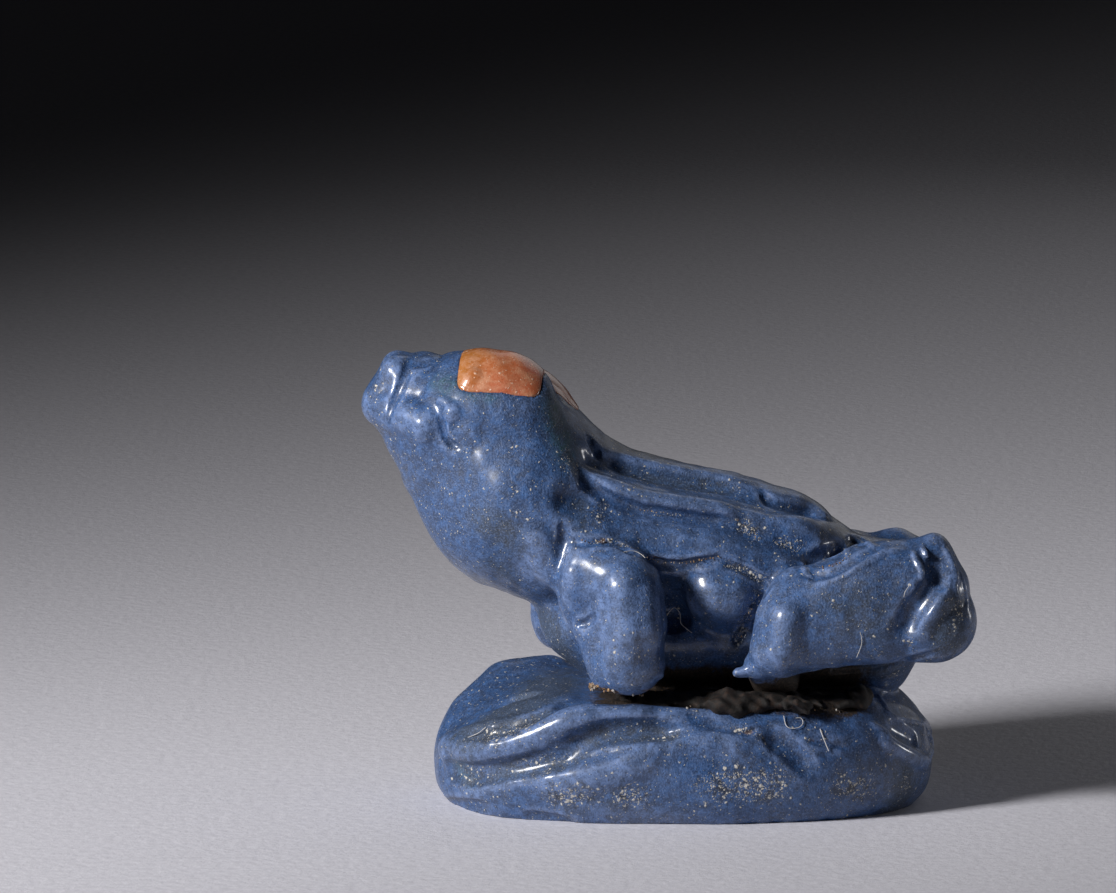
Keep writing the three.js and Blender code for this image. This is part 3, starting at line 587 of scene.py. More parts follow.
def net_over(form, low, high, step):
    """A net of four-sided faces over the form's skin: one knot in each grid cell it passes."""
    block = 6
    counts = np.ceil((np.array(high) - low) / (step * block)).astype(int)
    nodes = counts * block + 1
    corner = np.stack(np.meshgrid(*[np.arange(n) for n in counts], indexing="ij"), -1)
    corner = corner.reshape(-1, 3)
    centre = low + (corner + 0.5) * block * step
    middle = in_parts(form, centre.T)
    values = middle.reshape(counts)
    for axis in range(3):
        values = np.repeat(values, block, axis)
    values = np.pad(values, ((0, 1), (0, 1), (0, 1)), mode="edge").astype(np.float32)
    close = corner[np.abs(middle) < block * step * 1.15]
    within = np.stack(np.meshgrid(*[np.arange(block + 1)] * 3, indexing="ij"), -1).reshape(-1, 3)
    index = (close[:, None, :] * block + within[None]).reshape(-1, 3)
    flat = np.unique(np.ravel_multi_index(index.T, nodes))
    index = np.stack(np.unravel_index(flat, nodes))
    values.ravel()[flat] = in_parts(form, low[:, None] + index * step)

    inside = values < 0
    cell_shape = nodes - 1
    places = []
    quads = []
    rings = []
    numbers = np.arange(np.prod(cell_shape)).reshape(cell_shape)
    for axis in range(3):
        first = [slice(None)] * 3
        second = [slice(None)] * 3
        first[axis], second[axis] = slice(0, -1), slice(1, None)
        crossed = np.argwhere(inside[tuple(first)] != inside[tuple(second)])
        others = [k for k in range(3) if k != axis]
        inner = (crossed[:, others] > 0) & (crossed[:, others] < cell_shape[others])
        crossed = crossed[np.all(inner, axis=1)]
        a = values[tuple(crossed.T)]
        ahead = crossed.copy()
        ahead[:, axis] += 1
        b = values[tuple(ahead.T)]
        place = crossed.astype(np.float32)
        place[:, axis] += a / (a - b)
        ring = []
        for du, dv in ((0, 0), (1, 0), (1, 1), (0, 1)):
            cell = crossed.copy()
            cell[:, others[0]] -= du
            cell[:, others[1]] -= dv
            ring.append(numbers[tuple(cell.T)])
        places.append(np.tile(place, (4, 1)))
        faces = np.stack(ring, 1)
        rings.append(faces.T.ravel())
        turned = (a < 0) != (axis == 1)
        quads.append(np.where(turned[:, None], faces[:, ::-1], faces))
    places = np.concatenate(places)
    used, knot_of = np.unique(np.concatenate(rings), return_inverse=True)
    knots = np.stack([np.bincount(knot_of, places[:, axis]) for axis in range(3)], 1)
    knots /= np.bincount(knot_of)[:, None]
    return low + knots * step, np.searchsorted(used, np.concatenate(quads))


def slope_at(form, p, reach):
    here = in_parts(form, p)
    ahead = [in_parts(form, p + reach * np.eye(3)[:, axis : axis + 1]) for axis in range(3)]
    return here, (np.stack(ahead) - here) / reach


def settle(form, knots, step, rounds=2):
    """Moves the net's knots onto the skin itself."""
    p = knots.T.copy()
    for _ in range(rounds):
        here, slope = slope_at(form, p, 0.1 * step)
        square = np.maximum((slope**2).sum(0), 0.2)
        move = here * slope / square
        p -= np.clip(move, -0.5 * step, 0.5 * step)
    return p.T


def to_object(name, knots, faces):
    mesh = bpy.data.meshes.new(name)
    mesh.from_pydata(knots.tolist(), [], faces.tolist())
    mesh.update()
    return add_object(name, mesh)


def finish_mesh(made, most_faces):
    """Thins a net to fewer triangles where it is smooth, and shades it smooth."""
    count = sum(len(face.vertices) - 2 for face in made.data.polygons)
    if count > most_faces:
        thinner = made.modifiers.new("thin", "DECIMATE")
        thinner.ratio = most_faces / count
        evaluated = made.evaluated_get(bpy.context.evaluated_depsgraph_get())
        thinned = bpy.data.meshes.new_from_object(evaluated)
        made.modifiers.clear()
        made.data = thinned
    made.data.polygons.foreach_set("use_smooth", [True] * len(made.data.polygons))
    made.data.update()


# The CAD beads sit at the eyes' places, which gives the frame's shift from the drawing
eye_low, eye_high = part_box("left_eye")
shift = np.array((eye_low + eye_high) / 2) / MM - eye_frames[LEFT][0]
shift[2] = 0.0

net_step, net_margin = 0.047, 0.3
figure_low, figure_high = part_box("frog_and_pad")
figure_low = np.array(figure_low) / MM - shift - net_margin
figure_high = np.array(figure_high) / MM - shift + net_margin
knots, faces = net_over(blue_form, figure_low, figure_high, net_step)
knots = settle(blue_form, knots, net_step)
knots[:, 2] = np.maximum(knots[:, 2], 0.0)
figure = to_object("frog_and_pad_glass", (knots + shift) * MM, faces)
finish_mesh(figure, most_faces=192000)

# What lies on the glass and where, and where light and shade are painted on it. Film is thin earth,
# and on the back it is painted shade; earth is thick; specks are pale grains; the sheen rows are
# painted sheen, paler glass where light falls on the rolls of the arm, shin, neck, throat, flank
# and pad; Green is a tint of the glass itself, and behind the head painted shade. Each row is
# (width, strength, places), laid like the marks.
stains = {
    "film_and_painted_shade": [
        (0.9, 1, [(-3.69, 1.13), (-3.37, 1.34), (-2.91, 1.52), (-2.46, 1.78), (-2.13, 2.08),
            (-1.91, 2.37)]),
        (0.22, 0.9, [(-3.69, 1.08), (-3, 1.21), (-2.46, 1.43), (-1.91, 1.71)]),
        (0.3, 0.8, [(-1.64, 0.97), (-1.06, 1.17), (-0.19, 1.17), (0.36, 1.08)]),
        (0.32, 0.6, [(-3.55, 0.32), (-3, 0.45), (-1.91, 0.64), (-1.37, 0.86)]),
        (0.55, 0.5, [(-3.36, 5.09), (-3, 4.95), (-2.78, 4.63)]),
        (0.4, 0.4, [(-3.11, 4.3), (-2.86, 4.08)]),
        (0.3, 0.2, [(-2.08, 7.66), (-1.99, 7.29), (-1.88, 6.83)]),
        (0.3, 0.35, [(-1.59, 5.46), (-1.55, 4.91)]),
        # painted shade: this row darkens the top of the back, where less light falls
        (0.3, 0.6, [(-1.01, 6.01), (-0.47, 5.9), (-0.1, 5.81), (0.62, 5.75), (1.34, 5.64)]),
        (0.6, 0.8, [(-2.28, 3.35), (-2, 2.89), (-1.7, 2.37)]),
        (0.5, 0.9, [(5.07, 3.26), (5.16, 2.89), (5.25, 3.62)]),
        (0.3, 0.6, [(3.35, 2.3), (3.89, 2.32), (4.35, 2.37)]),
        (0.6, 0.8, [(4.36, 0.4), (4.32, 0.03), (4.18, -0.12)]),
        (0.8, 0.3, [(3.7, 3.81), (3.53, 3.26), (3.89, 2.89)]),
        (0.4, 0.35, [(2.71, 3.62), (3.34, 3.44), (3.89, 3.62)]),
        (0.25, 0.45, [(1.35, 3.07), (1.26, 2.61)]),
    ],
    "specks": [
        (0.26, 1, [(1.36, 5.04), (1.51, 4.91), (1.62, 4.76)]),
        (0.18, 1, [(2, 4.71), (2.22, 4.63), (2.47, 4.56)]),
        (0.12, 0.8, [(-0.2, 5.84), (0.62, 5.77), (1.43, 5.66)]),
        (0.07, 1, [(-0.45, 5.29), (0.11, 5.2), (0.62, 5.13), (0.95, 5.11)]),
        (0.3, 0.5, [(-1.82, 6.28), (-1.7, 6.01)]),
        (0.4, 0.4, [(-1.37, 5.09), (-1.1, 5.28)]),
        (0.1, 0.9, [(-1.48, 4.69), (-0.97, 4.73), (-0.46, 4.51)]),
        (0.14, 1, [(1.02, 4.3), (1.35, 4.21), (1.6, 4.08), (1.86, 3.94)]),
        (0.22, 1, [(1.78, 3.77), (1.57, 3.51), (1.39, 3.16), (1.26, 2.79)]),
        (0.14, 0.9, [(4.34, 2.89), (4.53, 2.78)]),
        (0.16, 0.6, [(5.16, 2.89), (5.28, 3.26), (5.3, 3.62)]),
        (0.42, 1, [(-2.04, 0.04), (-1.75, 0.06), (-1.44, 0.08)]),
        (0.32, 1, [(-0.86, -0.03), (-0.62, 0.01), (-0.39, -0.01)]),
        (0.5, 0.95, [(0.63, 0.12), (1.09, 0.25), (1.54, 0.21), (2.18, 0.16)]),
        (0.36, 0.95, [(3.14, 0.17), (3.38, 0.21), (3.72, 0.19)]),
        (0.2, 0.8, [(4.32, 0.4), (4.38, 0.12)]),
        (0.24, 1, [(-2.79, 0.56), (-2.46, 0.6), (-2.13, 0.64), (-1.73, 0.73)]),
        (0.3, 0.6, [(-3.73, 0.38), (-3.37, 0.34)]),
        (0.2, 0.7, [(-1.19, 1.12), (-0.46, 1.19), (0.27, 1.1)]),
        (0.2, 0.7, [(0.45, 1.61), (0.72, 1.65), (0.9, 1.67)]),
        (0.16, 0.8, [(1.26, 1.26), (1.57, 1.17), (1.81, 1.02)]),
        (0.2, 0.5, [(-5.26, 7.53), (-5.18, 7.38)]),
        (0.16, 0.6, [(-3.69, 6.43), (-3.43, 6.34)]),
        (0.3, 0.7, [(-3.4, 1.02), (-3, 1.12), (-2.28, 1.37)]),
        (0.3, 0.3, [(-0.79, 2.7), (-0.46, 2.7)]),
        (0.3, 0.3, [(2.26, 2.89), (2.44, 2.61)]),
    ],
    # Painted sheen: paler glass where light and sheen fall on the arm, shin, neck, throat, flank
    # and pad rolls
    "painted_sheen": [
        (0.7, 0.9, [(-1.46, 4.08), (-1.19, 3.62), (-0.97, 2.89), (-0.64, 3.62), (-0.46, 3.07),
            (-0.55, 2.52)]),
        (0.4, 0.8, [(2.26, 3.62), (2.17, 2.89), (2.04, 2.48)]),
        (0.42, 1, [(-3.91, 0.75), (-3.44, 0.71), (-2.93, 0.78), (-2.42, 0.97), (-1.88, 1.25),
            (-1.44, 1.5)]),
        (0.42, 0.9, [(-2.46, 0.19), (-1.91, 0.23), (-1.37, 0.3), (-0.82, 0.45), (-0.1, 0.71)]),
        (0.36, 0.5, [(-0.97, 0.82), (-0.28, 0.95), (0.45, 1.02), (1.17, 0.97)]),
        (0.35, 0.6, [(-2.28, -0.21), (-0.82, -0.33), (0.63, -0.36)]),
        (0.5, 0.9, [(-2.46, 4.43), (-2.37, 3.95)]),
        (0.5, 0.4, [(-3.54, 4.36), (-3.36, 3.99), (-3, 3.62)]),
        (0.5, 0.5, [(-0.65, 5.06), (0.44, 4.82), (1.35, 4.58)]),
        (0.25, 0.7, [(1.26, 2.26), (1.72, 2.3), (2.08, 2.37)]),
    ],
    "green_tint_and_painted_shade": [
        (0.35, 0.9, [(-4.19, 7.71), (-3.97, 7.58), (-3.76, 7.47)]),
        (0.22, 0.7, [(-3.68, 7.4), (-3.36, 7.35), (-3, 7.33)]),
        # painted shade: this row darkens the side of the neck behind the head, which faces away
        # from the light
        (0.5, 1, [(-2.08, 7.38), (-1.99, 7.02), (-1.86, 6.56), (-1.7, 6.1)]),
        (0.3, 0.7, [(-3.82, 0.58), (-3.55, 0.27)]),
        (0.2, 0.6, [(-3.19, 0.4), (-2.64, 0.49)]),
    ],
    "earth": [
        (0.12, 1, [(-1.37, 2.06), (-1.19, 1.97), (-0.97, 1.93), (-0.82, 1.93)]),
        (0.1, 0.9, [(-0.46, 1.97), (-0.1, 1.97), (0.45, 1.93)]),
        (0.07, 0.9, [(1.63, 1.67), (2.08, 1.65), (2.62, 1.63), (3.17, 1.6)]),
        (0.05, 0.8, [(-0.45, 5.29), (-0.19, 5.24), (0.11, 5.2)]),
        (0.06, 1, [(-1.48, 4.71), (-1.23, 4.69), (-0.97, 4.74)]),
        (0.06, 0.9, [(-0.39, 4.45), (-0.07, 4.36), (0.33, 4.32), (0.95, 4.41)]),
        (0.05, 0.9, [(-1.55, 3.18), (-1.33, 3.26)]),
        (0.1, 0.3, [(2.83, 4.23), (3.05, 4.28), (3.25, 4.4)]),
        (0.06, 0.9, [(2.63, 1.04), (2.77, 1.01)]),
        (0.06, 0.8, [(1.37, 1.13), (1.65, 1.21)]),
    ],
}
stain_rows = {kind: lay_on_glass(rows) for kind, rows in stains.items()}


def set_attribute(made, name, values):
    attribute = made.data.attributes.new(name, "FLOAT", "POINT")
    attribute.data.foreach_set("value", np.clip(values, 0, 1).astype(np.float32))


def columns_of(rows, what):
    """A mesh's points, or their outward directions, one to a column."""
    flat = np.empty(len(rows) * 3, np.float32)
    rows.foreach_get(what, flat)
    return flat.reshape(-1, 3).T


def read_surface(made):
    """Writes on a piece's points its rubbed convex edges and its hollows, earth and painted shade
    in the crevice, and the stains, some of which are painted sheen and shade.
    """
    p = columns_of(made.data.vertices, "co").astype(float) / MM - shift[:, None]
    outward = columns_of(made.data.vertex_normals, "vector")
    close, far = 0.14, 0.6
    aside = np.cross(outward.T, (0.3, 0.5, 0.8)).T
    aside /= np.linalg.norm(aside, axis=0)
    across = np.cross(outward.T, aside.T).T
    ways = (aside, -aside, across, -across)
    rise = sum(in_parts(blue_skin, p + close * way) for way in ways) / close
    # Rubbed convex edges, paled in the material along with the painted sheen
    set_attribute(made, "wear_and_painted_sheen", ease(0.12, 0.65, rise))
    sunk = 1 - in_parts(blue_skin, p + close * outward) / close
    set_attribute(made, "hollow", 1.6 * sunk - 0.15)
    # The crevice: how shut in each point is, within the band under the frog. The material darkens
    # it there, as earth and as painted shade.
    shut_in = 1 - in_parts(figure_form, p + far * outward) / far
    between = 1.0
    for start, end, at in ((1.75, 2.0, p[2]), (2.75, 2.5, p[2]), (-1.5, -1.0, p[0]),
                           (3.9, 3.3, p[0]), (-2.5, -2.15, p[1])):
        between = between * ease(start, end, at)
    set_attribute(made, "crevice", ease(0.25, 0.6, shut_in) * between)
    for kind, rows in stain_rows.items():
        total = np.zeros(p.shape[1])
        for row in rows:
            near, strength = nearness(p, row, smooth)
            total[near] = np.maximum(total[near], row[1] * strength)
        set_attribute(made, kind, total)


read_surface(figure)


def put(tree, socket, value):
    if isinstance(value, bpy.types.NodeSocket):
        tree.links.new(value, socket)
    else:
        socket.default_value = value


def add_step(tree, kind, inputs, **settings):
    """A node of a material or a node group, with its settings and what goes into it."""
    node = tree.nodes.new(kind)
    for name, value in settings.items():
        setattr(node, name, value)
    for name, value in inputs.items():
        put(tree, node.inputs[name], value)
    return node


def add_math(tree, operation, *values, clamp=False):
    inputs = dict(enumerate(values))
    step = add_step(tree, "ShaderNodeMath", inputs, operation=operation, use_clamp=clamp)
    return step.outputs[0]


def add_range(tree, value, low, high, to_low=0.0, to_high=1.0):
    inputs = {"Value": value, "From Min": low, "From Max": high,
              "To Min": to_low, "To Max": to_high}
    return add_step(tree, "ShaderNodeMapRange", inputs).outputs["Result"]


def add_mix(tree, factor, first, second):
    inputs = {0: factor, 6: first, 7: second}
    return add_step(tree, "ShaderNodeMix", inputs, data_type="RGBA").outputs[2]


def add_noise(tree, where, scale, detail, roughness=0.5):
    inputs = {"Vector": where, "Scale": scale, "Detail": detail, "Roughness": roughness}
    return add_step(tree, "ShaderNodeTexNoise", inputs).outputs["Fac"]


def add_cells(tree, where, scale):
    cells = add_step(tree, "ShaderNodeTexVoronoi", {"Vector": where, "Scale": scale}).outputs
    colour = add_step(tree, "ShaderNodeSeparateColor", {"Color": cells["Color"]}).outputs
    return cells["Distance"], colour["Red"], colour["Green"]


def add_attribute(tree, name):
    return add_step(tree, "ShaderNodeAttribute", {}, attribute_name=name).outputs["Fac"]


def object_place(tree):
    return tree.nodes.new("ShaderNodeTexCoord").outputs["Object"]


# The grain that both glasses share: slow clouds, a mottle, a fine grain, and pale specks, which
# lie thicker where "Amount" is higher
grain_of_glass = bpy.data.node_groups.new("grain of glass", "ShaderNodeTree")
grain_of_glass.interface.new_socket("Amount", in_out="INPUT", socket_type="NodeSocketFloat")
for output in ("Clouds", "Mottle", "Grain", "Specks", "Height"):
    grain_of_glass.interface.new_socket(output, in_out="OUTPUT", socket_type="NodeSocketFloat")
group_in = grain_of_glass.nodes.new("NodeGroupInput")
group_out = grain_of_glass.nodes.new("NodeGroupOutput")
where = object_place(grain_of_glass)
clouds = add_noise(grain_of_glass, where, 900, 3)
mottle = add_noise(grain_of_glass, where, 6500, 4, 0.65)
grain = add_noise(grain_of_glass, where, 30000, 2, 0.6)
thick = add_math(grain_of_glass, "MULTIPLY_ADD", group_in.outputs["Amount"], 0.7, 1.0)
warp_noise = add_step(grain_of_glass, "ShaderNodeTexNoise", {"Vector": where, "Scale": 22000})
warp = add_step(grain_of_glass, "ShaderNodeVectorMath",
                {0: warp_noise.outputs["Color"], 1: (0.00007, 0.00007, 0.00007), 2: where},
                operation="MULTIPLY_ADD")
specks = 0.0
for scale, share in ((11000, 0.5), (17000, 0.7), (30000, 0.9)):
    distance, size, chance = add_cells(grain_of_glass, warp.outputs[0], scale)
    reach = add_range(grain_of_glass, size, 0, 1, 0.08, 0.32)
    reach = add_math(grain_of_glass, "MULTIPLY", reach, thick)
    dot = add_range(grain_of_glass, add_math(grain_of_glass, "DIVIDE", distance, reach), 1, 0.55)
    kept = add_math(grain_of_glass, "MULTIPLY", group_in.outputs["Amount"], share)
    kept = add_math(grain_of_glass, "LESS_THAN", chance, kept)
    dot = add_math(grain_of_glass, "MULTIPLY", dot, kept)
    specks = add_math(grain_of_glass, "MAXIMUM", dot, specks)
height = add_math(grain_of_glass, "ADD", add_math(grain_of_glass, "MULTIPLY", mottle, 1.4), grain)
height = add_math(grain_of_glass, "ADD", height, specks)
for output, value in (("Clouds", clouds), ("Mottle", mottle), ("Grain", grain), ("Specks", specks),
                      ("Height", height)):
    grain_of_glass.links.new(value, group_out.inputs[output])


def start_material(name):
    made = bpy.data.materials.new(name)
    made.use_nodes = True
    tree = made.node_tree
    return made, tree, tree.nodes["Principled BSDF"]


def add_grain(tree, amount):
    return add_step(tree, "ShaderNodeGroup", {"Amount": amount}, node_tree=grain_of_glass).outputs


def add_bump(tree, shader, height, distance):
    bump = add_step(tree, "ShaderNodeBump", {"Height": height, "Distance": distance})
    tree.links.new(bump.outputs["Normal"], shader.inputs["Normal"])


# Opaque blue glass, satin with wear, glossier where it was fire-polished and dull where earth lies.
# Its colour also carries painted sheen and painted shade, each marked below.
blue_glass, tree, shader = start_material("blue glass")
hollow = add_attribute(tree, "hollow")
film_and_painted_shade = add_attribute(tree, "film_and_painted_shade")
specked = add_attribute(tree, "specks")
crevice = add_attribute(tree, "crevice")
amount = add_math(tree, "ADD", add_math(tree, "MULTIPLY", hollow, 0.2), 0.014)
amount = add_math(tree, "ADD", amount, specked)
amount = add_math(tree, "SUBTRACT", amount, crevice, clamp=True)
grains = add_grain(tree, amount)
colour = add_mix(tree, add_range(tree, grains["Clouds"], 0.35, 0.65), (0.009, 0.042, 0.14, 1),
                 (0.015, 0.07, 0.225, 1))
colour = add_mix(tree, add_range(tree, grains["Mottle"], 0.42, 0.75), colour, (0.04, 0.12, 0.31, 1))
# Paler on rubbed convex edges, and painted sheen where the sheen rows lie on the lit arm, shin and
# pad rolls
wear_and_painted_sheen = add_math(tree, "MAXIMUM", add_attribute(tree, "wear_and_painted_sheen"), add_attribute(tree, "painted_sheen"))
wear_and_painted_sheen = add_math(tree, "MULTIPLY", wear_and_painted_sheen, add_range(tree, grains["Mottle"], 0.3, 0.6, 0.3, 0.8))
colour = add_mix(tree, wear_and_painted_sheen, colour, (0.15, 0.235, 0.46, 1))
# Green is a tint of the glass; its row behind the head is painted shade.
green_tint_and_painted_shade = add_range(tree, grains["Mottle"], 0.3, 0.6)
green_tint_and_painted_shade = add_math(tree, "MULTIPLY", add_attribute(tree, "green_tint_and_painted_shade"), green_tint_and_painted_shade)
colour = add_mix(tree, green_tint_and_painted_shade, colour, (0.02, 0.07, 0.075, 1))
# A grey film from the film rows and the hollows; on the back this is painted shade.
laid = add_math(tree, "MULTIPLY_ADD", film_and_painted_shade, 1.2, add_math(tree, "MULTIPLY", hollow, 0.6))
gaps = add_range(tree, grains["Mottle"], 0.35, 0.65, 0.0, 0.6)
laid = add_math(tree, "SUBTRACT", laid, gaps, clamp=True)
colour = add_mix(tree, add_math(tree, "MULTIPLY", laid, 0.75), colour, (0.036, 0.043, 0.043, 1))
pale = add_range(tree, grains["Grain"], 0.5, 0.75, 0.0, 0.6)
colour = add_mix(tree, pale, colour, (0.14, 0.21, 0.38, 1))
pitted = add_range(tree, grains["Mottle"], 0.52, 0.4)
pitted = add_math(tree, "MULTIPLY", specked, pitted, clamp=True)
colour = add_mix(tree, add_math(tree, "MULTIPLY", pitted, 0.9), colour, (0.02, 0.022, 0.026, 1))
dark = add_range(tree, grains["Grain"], 0.46, 0.25, 0.0, 0.85)
colour = add_mix(tree, dark, colour, (0.005, 0.014, 0.04, 1))
earth = add_attribute(tree, "earth")
brown = add_mix(tree, add_range(tree, grains["Mottle"], 0.4, 0.65), (0.05, 0.022, 0.01, 1),
                (0.32, 0.17, 0.06, 1))
laid_earth = add_math(tree, "SUBTRACT", add_math(tree, "MULTIPLY", earth, 1.7),
                      add_range(tree, grains["Mottle"], 0.35, 0.6, 0.0, 0.5), clamp=True)
colour = add_mix(tree, laid_earth, colour, brown)
# Painted shade in the crevice: near-black brown where the crevice mask is high, part earth, part
# the shade that falls between frog and pad.
ragged = add_range(tree, grains["Mottle"], 0.38, 0.62, 0.0, 0.9)
crevice_earth_and_shade = add_math(tree, "SUBTRACT", add_math(tree, "MULTIPLY", crevice, 1.9), ragged, clamp=True)
crevice_earth_and_shade_colour = add_mix(tree, add_range(tree, grains["Grain"], 0.45, 0.7), (0.012, 0.008, 0.006, 1),
                (0.08, 0.05, 0.03, 1))
colour = add_mix(tree, crevice_earth_and_shade, colour, crevice_earth_and_shade_colour)
specks = add_math(tree, "MULTIPLY", grains["Specks"], 0.9)
colour = add_mix(tree, specks, colour, (0.64, 0.6, 0.52, 1))
tree.links.new(colour, shader.inputs["Base Color"])
dull = add_math(tree, "MAXIMUM", laid, add_math(tree, "MAXIMUM", laid_earth, crevice_earth_and_shade))
rough = add_math(tree, "ADD", add_math(tree, "MULTIPLY", dull, 0.15), 0.55)
uneven = add_range(tree, grains["Mottle"], 0.3, 0.7, -0.08, 0.1)
rough = add_math(tree, "ADD", rough, uneven, clamp=True)
tree.links.new(rough, shader.inputs["Roughness"])
shader.inputs["Specular IOR Level"].default_value = 0.55
coat = add_math(tree, "SUBTRACT", add_range(tree, grains["Clouds"], 0.35, 0.65, 0.8, 0.4),
                add_math(tree, "MULTIPLY", dull, 0.4), clamp=True)
tree.links.new(coat, shader.inputs["Coat Weight"])
shader.inputs["Coat Roughness"].default_value = 0.21
shader.inputs["Coat IOR"].default_value = 1.7
pits = add_math(tree, "MULTIPLY", specked, add_math(tree, "MULTIPLY", grains["Mottle"], 3.0))
add_bump(tree, shader, add_math(tree, "ADD", grains["Height"], pits), 0.000012)
figure.data.materials.append(blue_glass)
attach(figure, "root")
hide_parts("frog_and_pad")


# The eyes: two beads of orange-red glass. Each is let into a socket in the side of the head, held
# by the glass round it, and smoothed flush with the swelling that carries it.
orange_glass, tree, shader = start_material("orange glass")
grains = add_grain(tree, 0.3)
uneven = add_range(tree, grains["Clouds"], 0.3, 0.7, -0.3, 0.3)
red = add_math(tree, "ADD", add_attribute(tree, "redness"), uneven, clamp=True)
colour = add_mix(tree, red, (0.39, 0.145, 0.022, 1), (0.45, 0.115, 0.06, 1))
pale = add_range(tree, grains["Mottle"], 0.4, 0.68, 0.0, 0.75)
colour = add_mix(tree, pale, colour, (0.56, 0.28, 0.16, 1))
dark = add_range(tree, grains["Grain"], 0.45, 0.2, 0.0, 0.6)
colour = add_mix(tree, dark, colour, (0.22, 0.06, 0.015, 1))
specks = add_math(tree, "MULTIPLY", grains["Specks"], 0.75)
colour = add_mix(tree, specks, colour, (0.75, 0.5, 0.36, 1))
tree.links.new(colour, shader.inputs["Base Color"])
tree.links.new(add_range(tree, grains["Mottle"], 0.3, 0.7, 0.3, 0.45), shader.inputs["Roughness"])
shader.inputs["Coat Weight"].default_value = 0.8
shader.inputs["Coat Roughness"].default_value = 0.1
add_bump(tree, shader, grains["Height"], 0.000004)
eye_raise, eye_dome = 0.002, 0.09
eye_step, eye_margin = 0.03, 1.3
for s, name in ((LEFT, "left_eye"), (RIGHT, "right_eye")):
    def eye_form(p):
        q = in_eye_frame(s, p)
        round_off = (1 - np.clip(2 * (q[0] - 0.05) / eye_length, -1, 1) ** 2)
        round_off *= 1 - np.clip(2 * q[1] / eye_width, -1, 1) ** 2
        top = blue_skin(p) - eye_raise - eye_dome * round_off**0.75
        return np.maximum(top, eye_prism(s, p, 0.0))

    middle = eye_frames[s][0]
    knots, faces = net_over(eye_form, middle - eye_margin, middle + eye_margin, eye_step)
    knots = settle(eye_form, knots, eye_step)
    eye = to_object(name + "_glass", (knots + shift) * MM, faces)
    finish_mesh(eye, most_faces=20000)
    along = in_eye_frame(s, columns_of(eye.data.vertices, "co") / MM - shift[:, None])[0]
    set_attribute(eye, "redness", ease(-0.6, 0.2, along / eye_length))
    eye.data.materials.append(orange_glass)
    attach(eye, "root")
    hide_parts(name)


# Earth lodged between the frog and the pad: crumbly, coloured near black, which paints the
# crevice's shade on it as well as the earth's own brown. It was packed there while the amulet lay
# buried, and only its own grip holds it.
rough_waves = random_waves((0.3, 0.03, 10), (0.09, 0.008, 20))
packed = strand([(-0.8, -1.8, 2.12, 0.08), (0.2, -1.8, 2.12, 0.1), (1.2, -1.8, 2.1, 0.11),
                 (2.4, -1.8, 2.1, 0.1), (3.5, -1.7, 2.06, 0.08)], 4.5)


def earth_form(p):
    return add_waves(packed(p), rough_waves, p)


earth_low, earth_high, earth_step = np.array([-1.3, -2.9, 1.8]), np.array([4.2, -0.9, 2.9]), 0.035
knots, faces = net_over(earth_form, earth_low, earth_high, earth_step)
lodged = to_object("lodged_earth", (knots + shift) * MM, faces)
finish_mesh(lodged, most_faces=40000)
earth_and_painted_shade, tree, shader = start_material("earth with painted shade")
where = object_place(tree)
lumps = add_noise(tree, where, 7000, 4, 0.7)
fine = add_noise(tree, where, 30000, 3, 0.6)
# Near black to brown: the earth's own colour with the crevice's shade painted in
colour = add_mix(tree, add_range(tree, lumps, 0.48, 0.72), (0.004, 0.0025, 0.0015, 1),
                 (0.03, 0.013, 0.006, 1))
colour = add_mix(tree, add_range(tree, fine, 0.64, 0.78, 0.0, 0.4), colour, (0.08, 0.045, 0.025, 1))
tree.links.new(colour, shader.inputs["Base Color"])
shader.inputs["Roughness"].default_value = 0.8
add_bump(tree, shader, add_math(tree, "ADD", lumps, fine), 0.00001)
lodged.data.materials.append(earth_and_painted_shade)
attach(lodged, "root")


# Crumbs: grains of earth caught in the folds and along the crevice, pale brown to grey. They are
# loose, and cling where the glass is rough or folded.
crumb_paths = [
    # (size of the grains, grains to the millimetre, spread, places)
    (0.045, 16, 0.05, [(-1.35, 2.04), (-1.19, 2), (-0.97, 1.97), (-0.84, 1.93)]),
    (0.03, 12, 0.05, [(-0.68, 1.89), (-0.46, 1.91), (-0.19, 1.91), (0.05, 1.97)]),
    (0.026, 9, 0.06, [(1.68, 1.65), (2.08, 1.63), (2.44, 1.63), (2.81, 1.61), (3.21, 1.58)]),
    (0.022, 14, 0.015, [(-0.45, 5.29), (-0.25, 5.26), (-0.03, 5.22), (0.19, 5.18)]),
    (0.024, 16, 0.02, [(-1.5, 4.71), (-1.33, 4.69), (-1.15, 4.69), (-0.97, 4.74)]),
    (0.022, 14, 0.02, [(-0.39, 4.43), (-0.1, 4.32), (0.33, 4.3), (0.95, 4.41)]),
    (0.03, 16, 0.03, [(2.76, 4.19), (2.98, 4.25), (3.19, 4.32), (3.3, 4.41)]),
    (0.03, 8, 0.05, [(0.41, 1.63), (0.63, 1.67), (0.88, 1.71)]),
    (0.02, 14, 0.06, [(1.78, 3.81), (1.64, 3.59), (1.44, 3.22), (1.3, 2.89)]),
    (0.02, 12, 0.05, [(1.34, 5.04), (1.49, 4.91), (1.64, 4.76)]),
]


def node_group(name, sockets):
    group = bpy.data.node_groups.new(name, "GeometryNodeTree")
    group.interface.new_socket("Geometry", in_out="INPUT", socket_type="NodeSocketGeometry")
    group.interface.new_socket("Geometry", in_out="OUTPUT", socket_type="NodeSocketGeometry")
    for socket, kind in sockets:
        group.interface.new_socket(socket, in_out="INPUT", socket_type=kind)
    given = group.nodes.new("NodeGroupInput").outputs
    return group, given, group.nodes.new("NodeGroupOutput").inputs


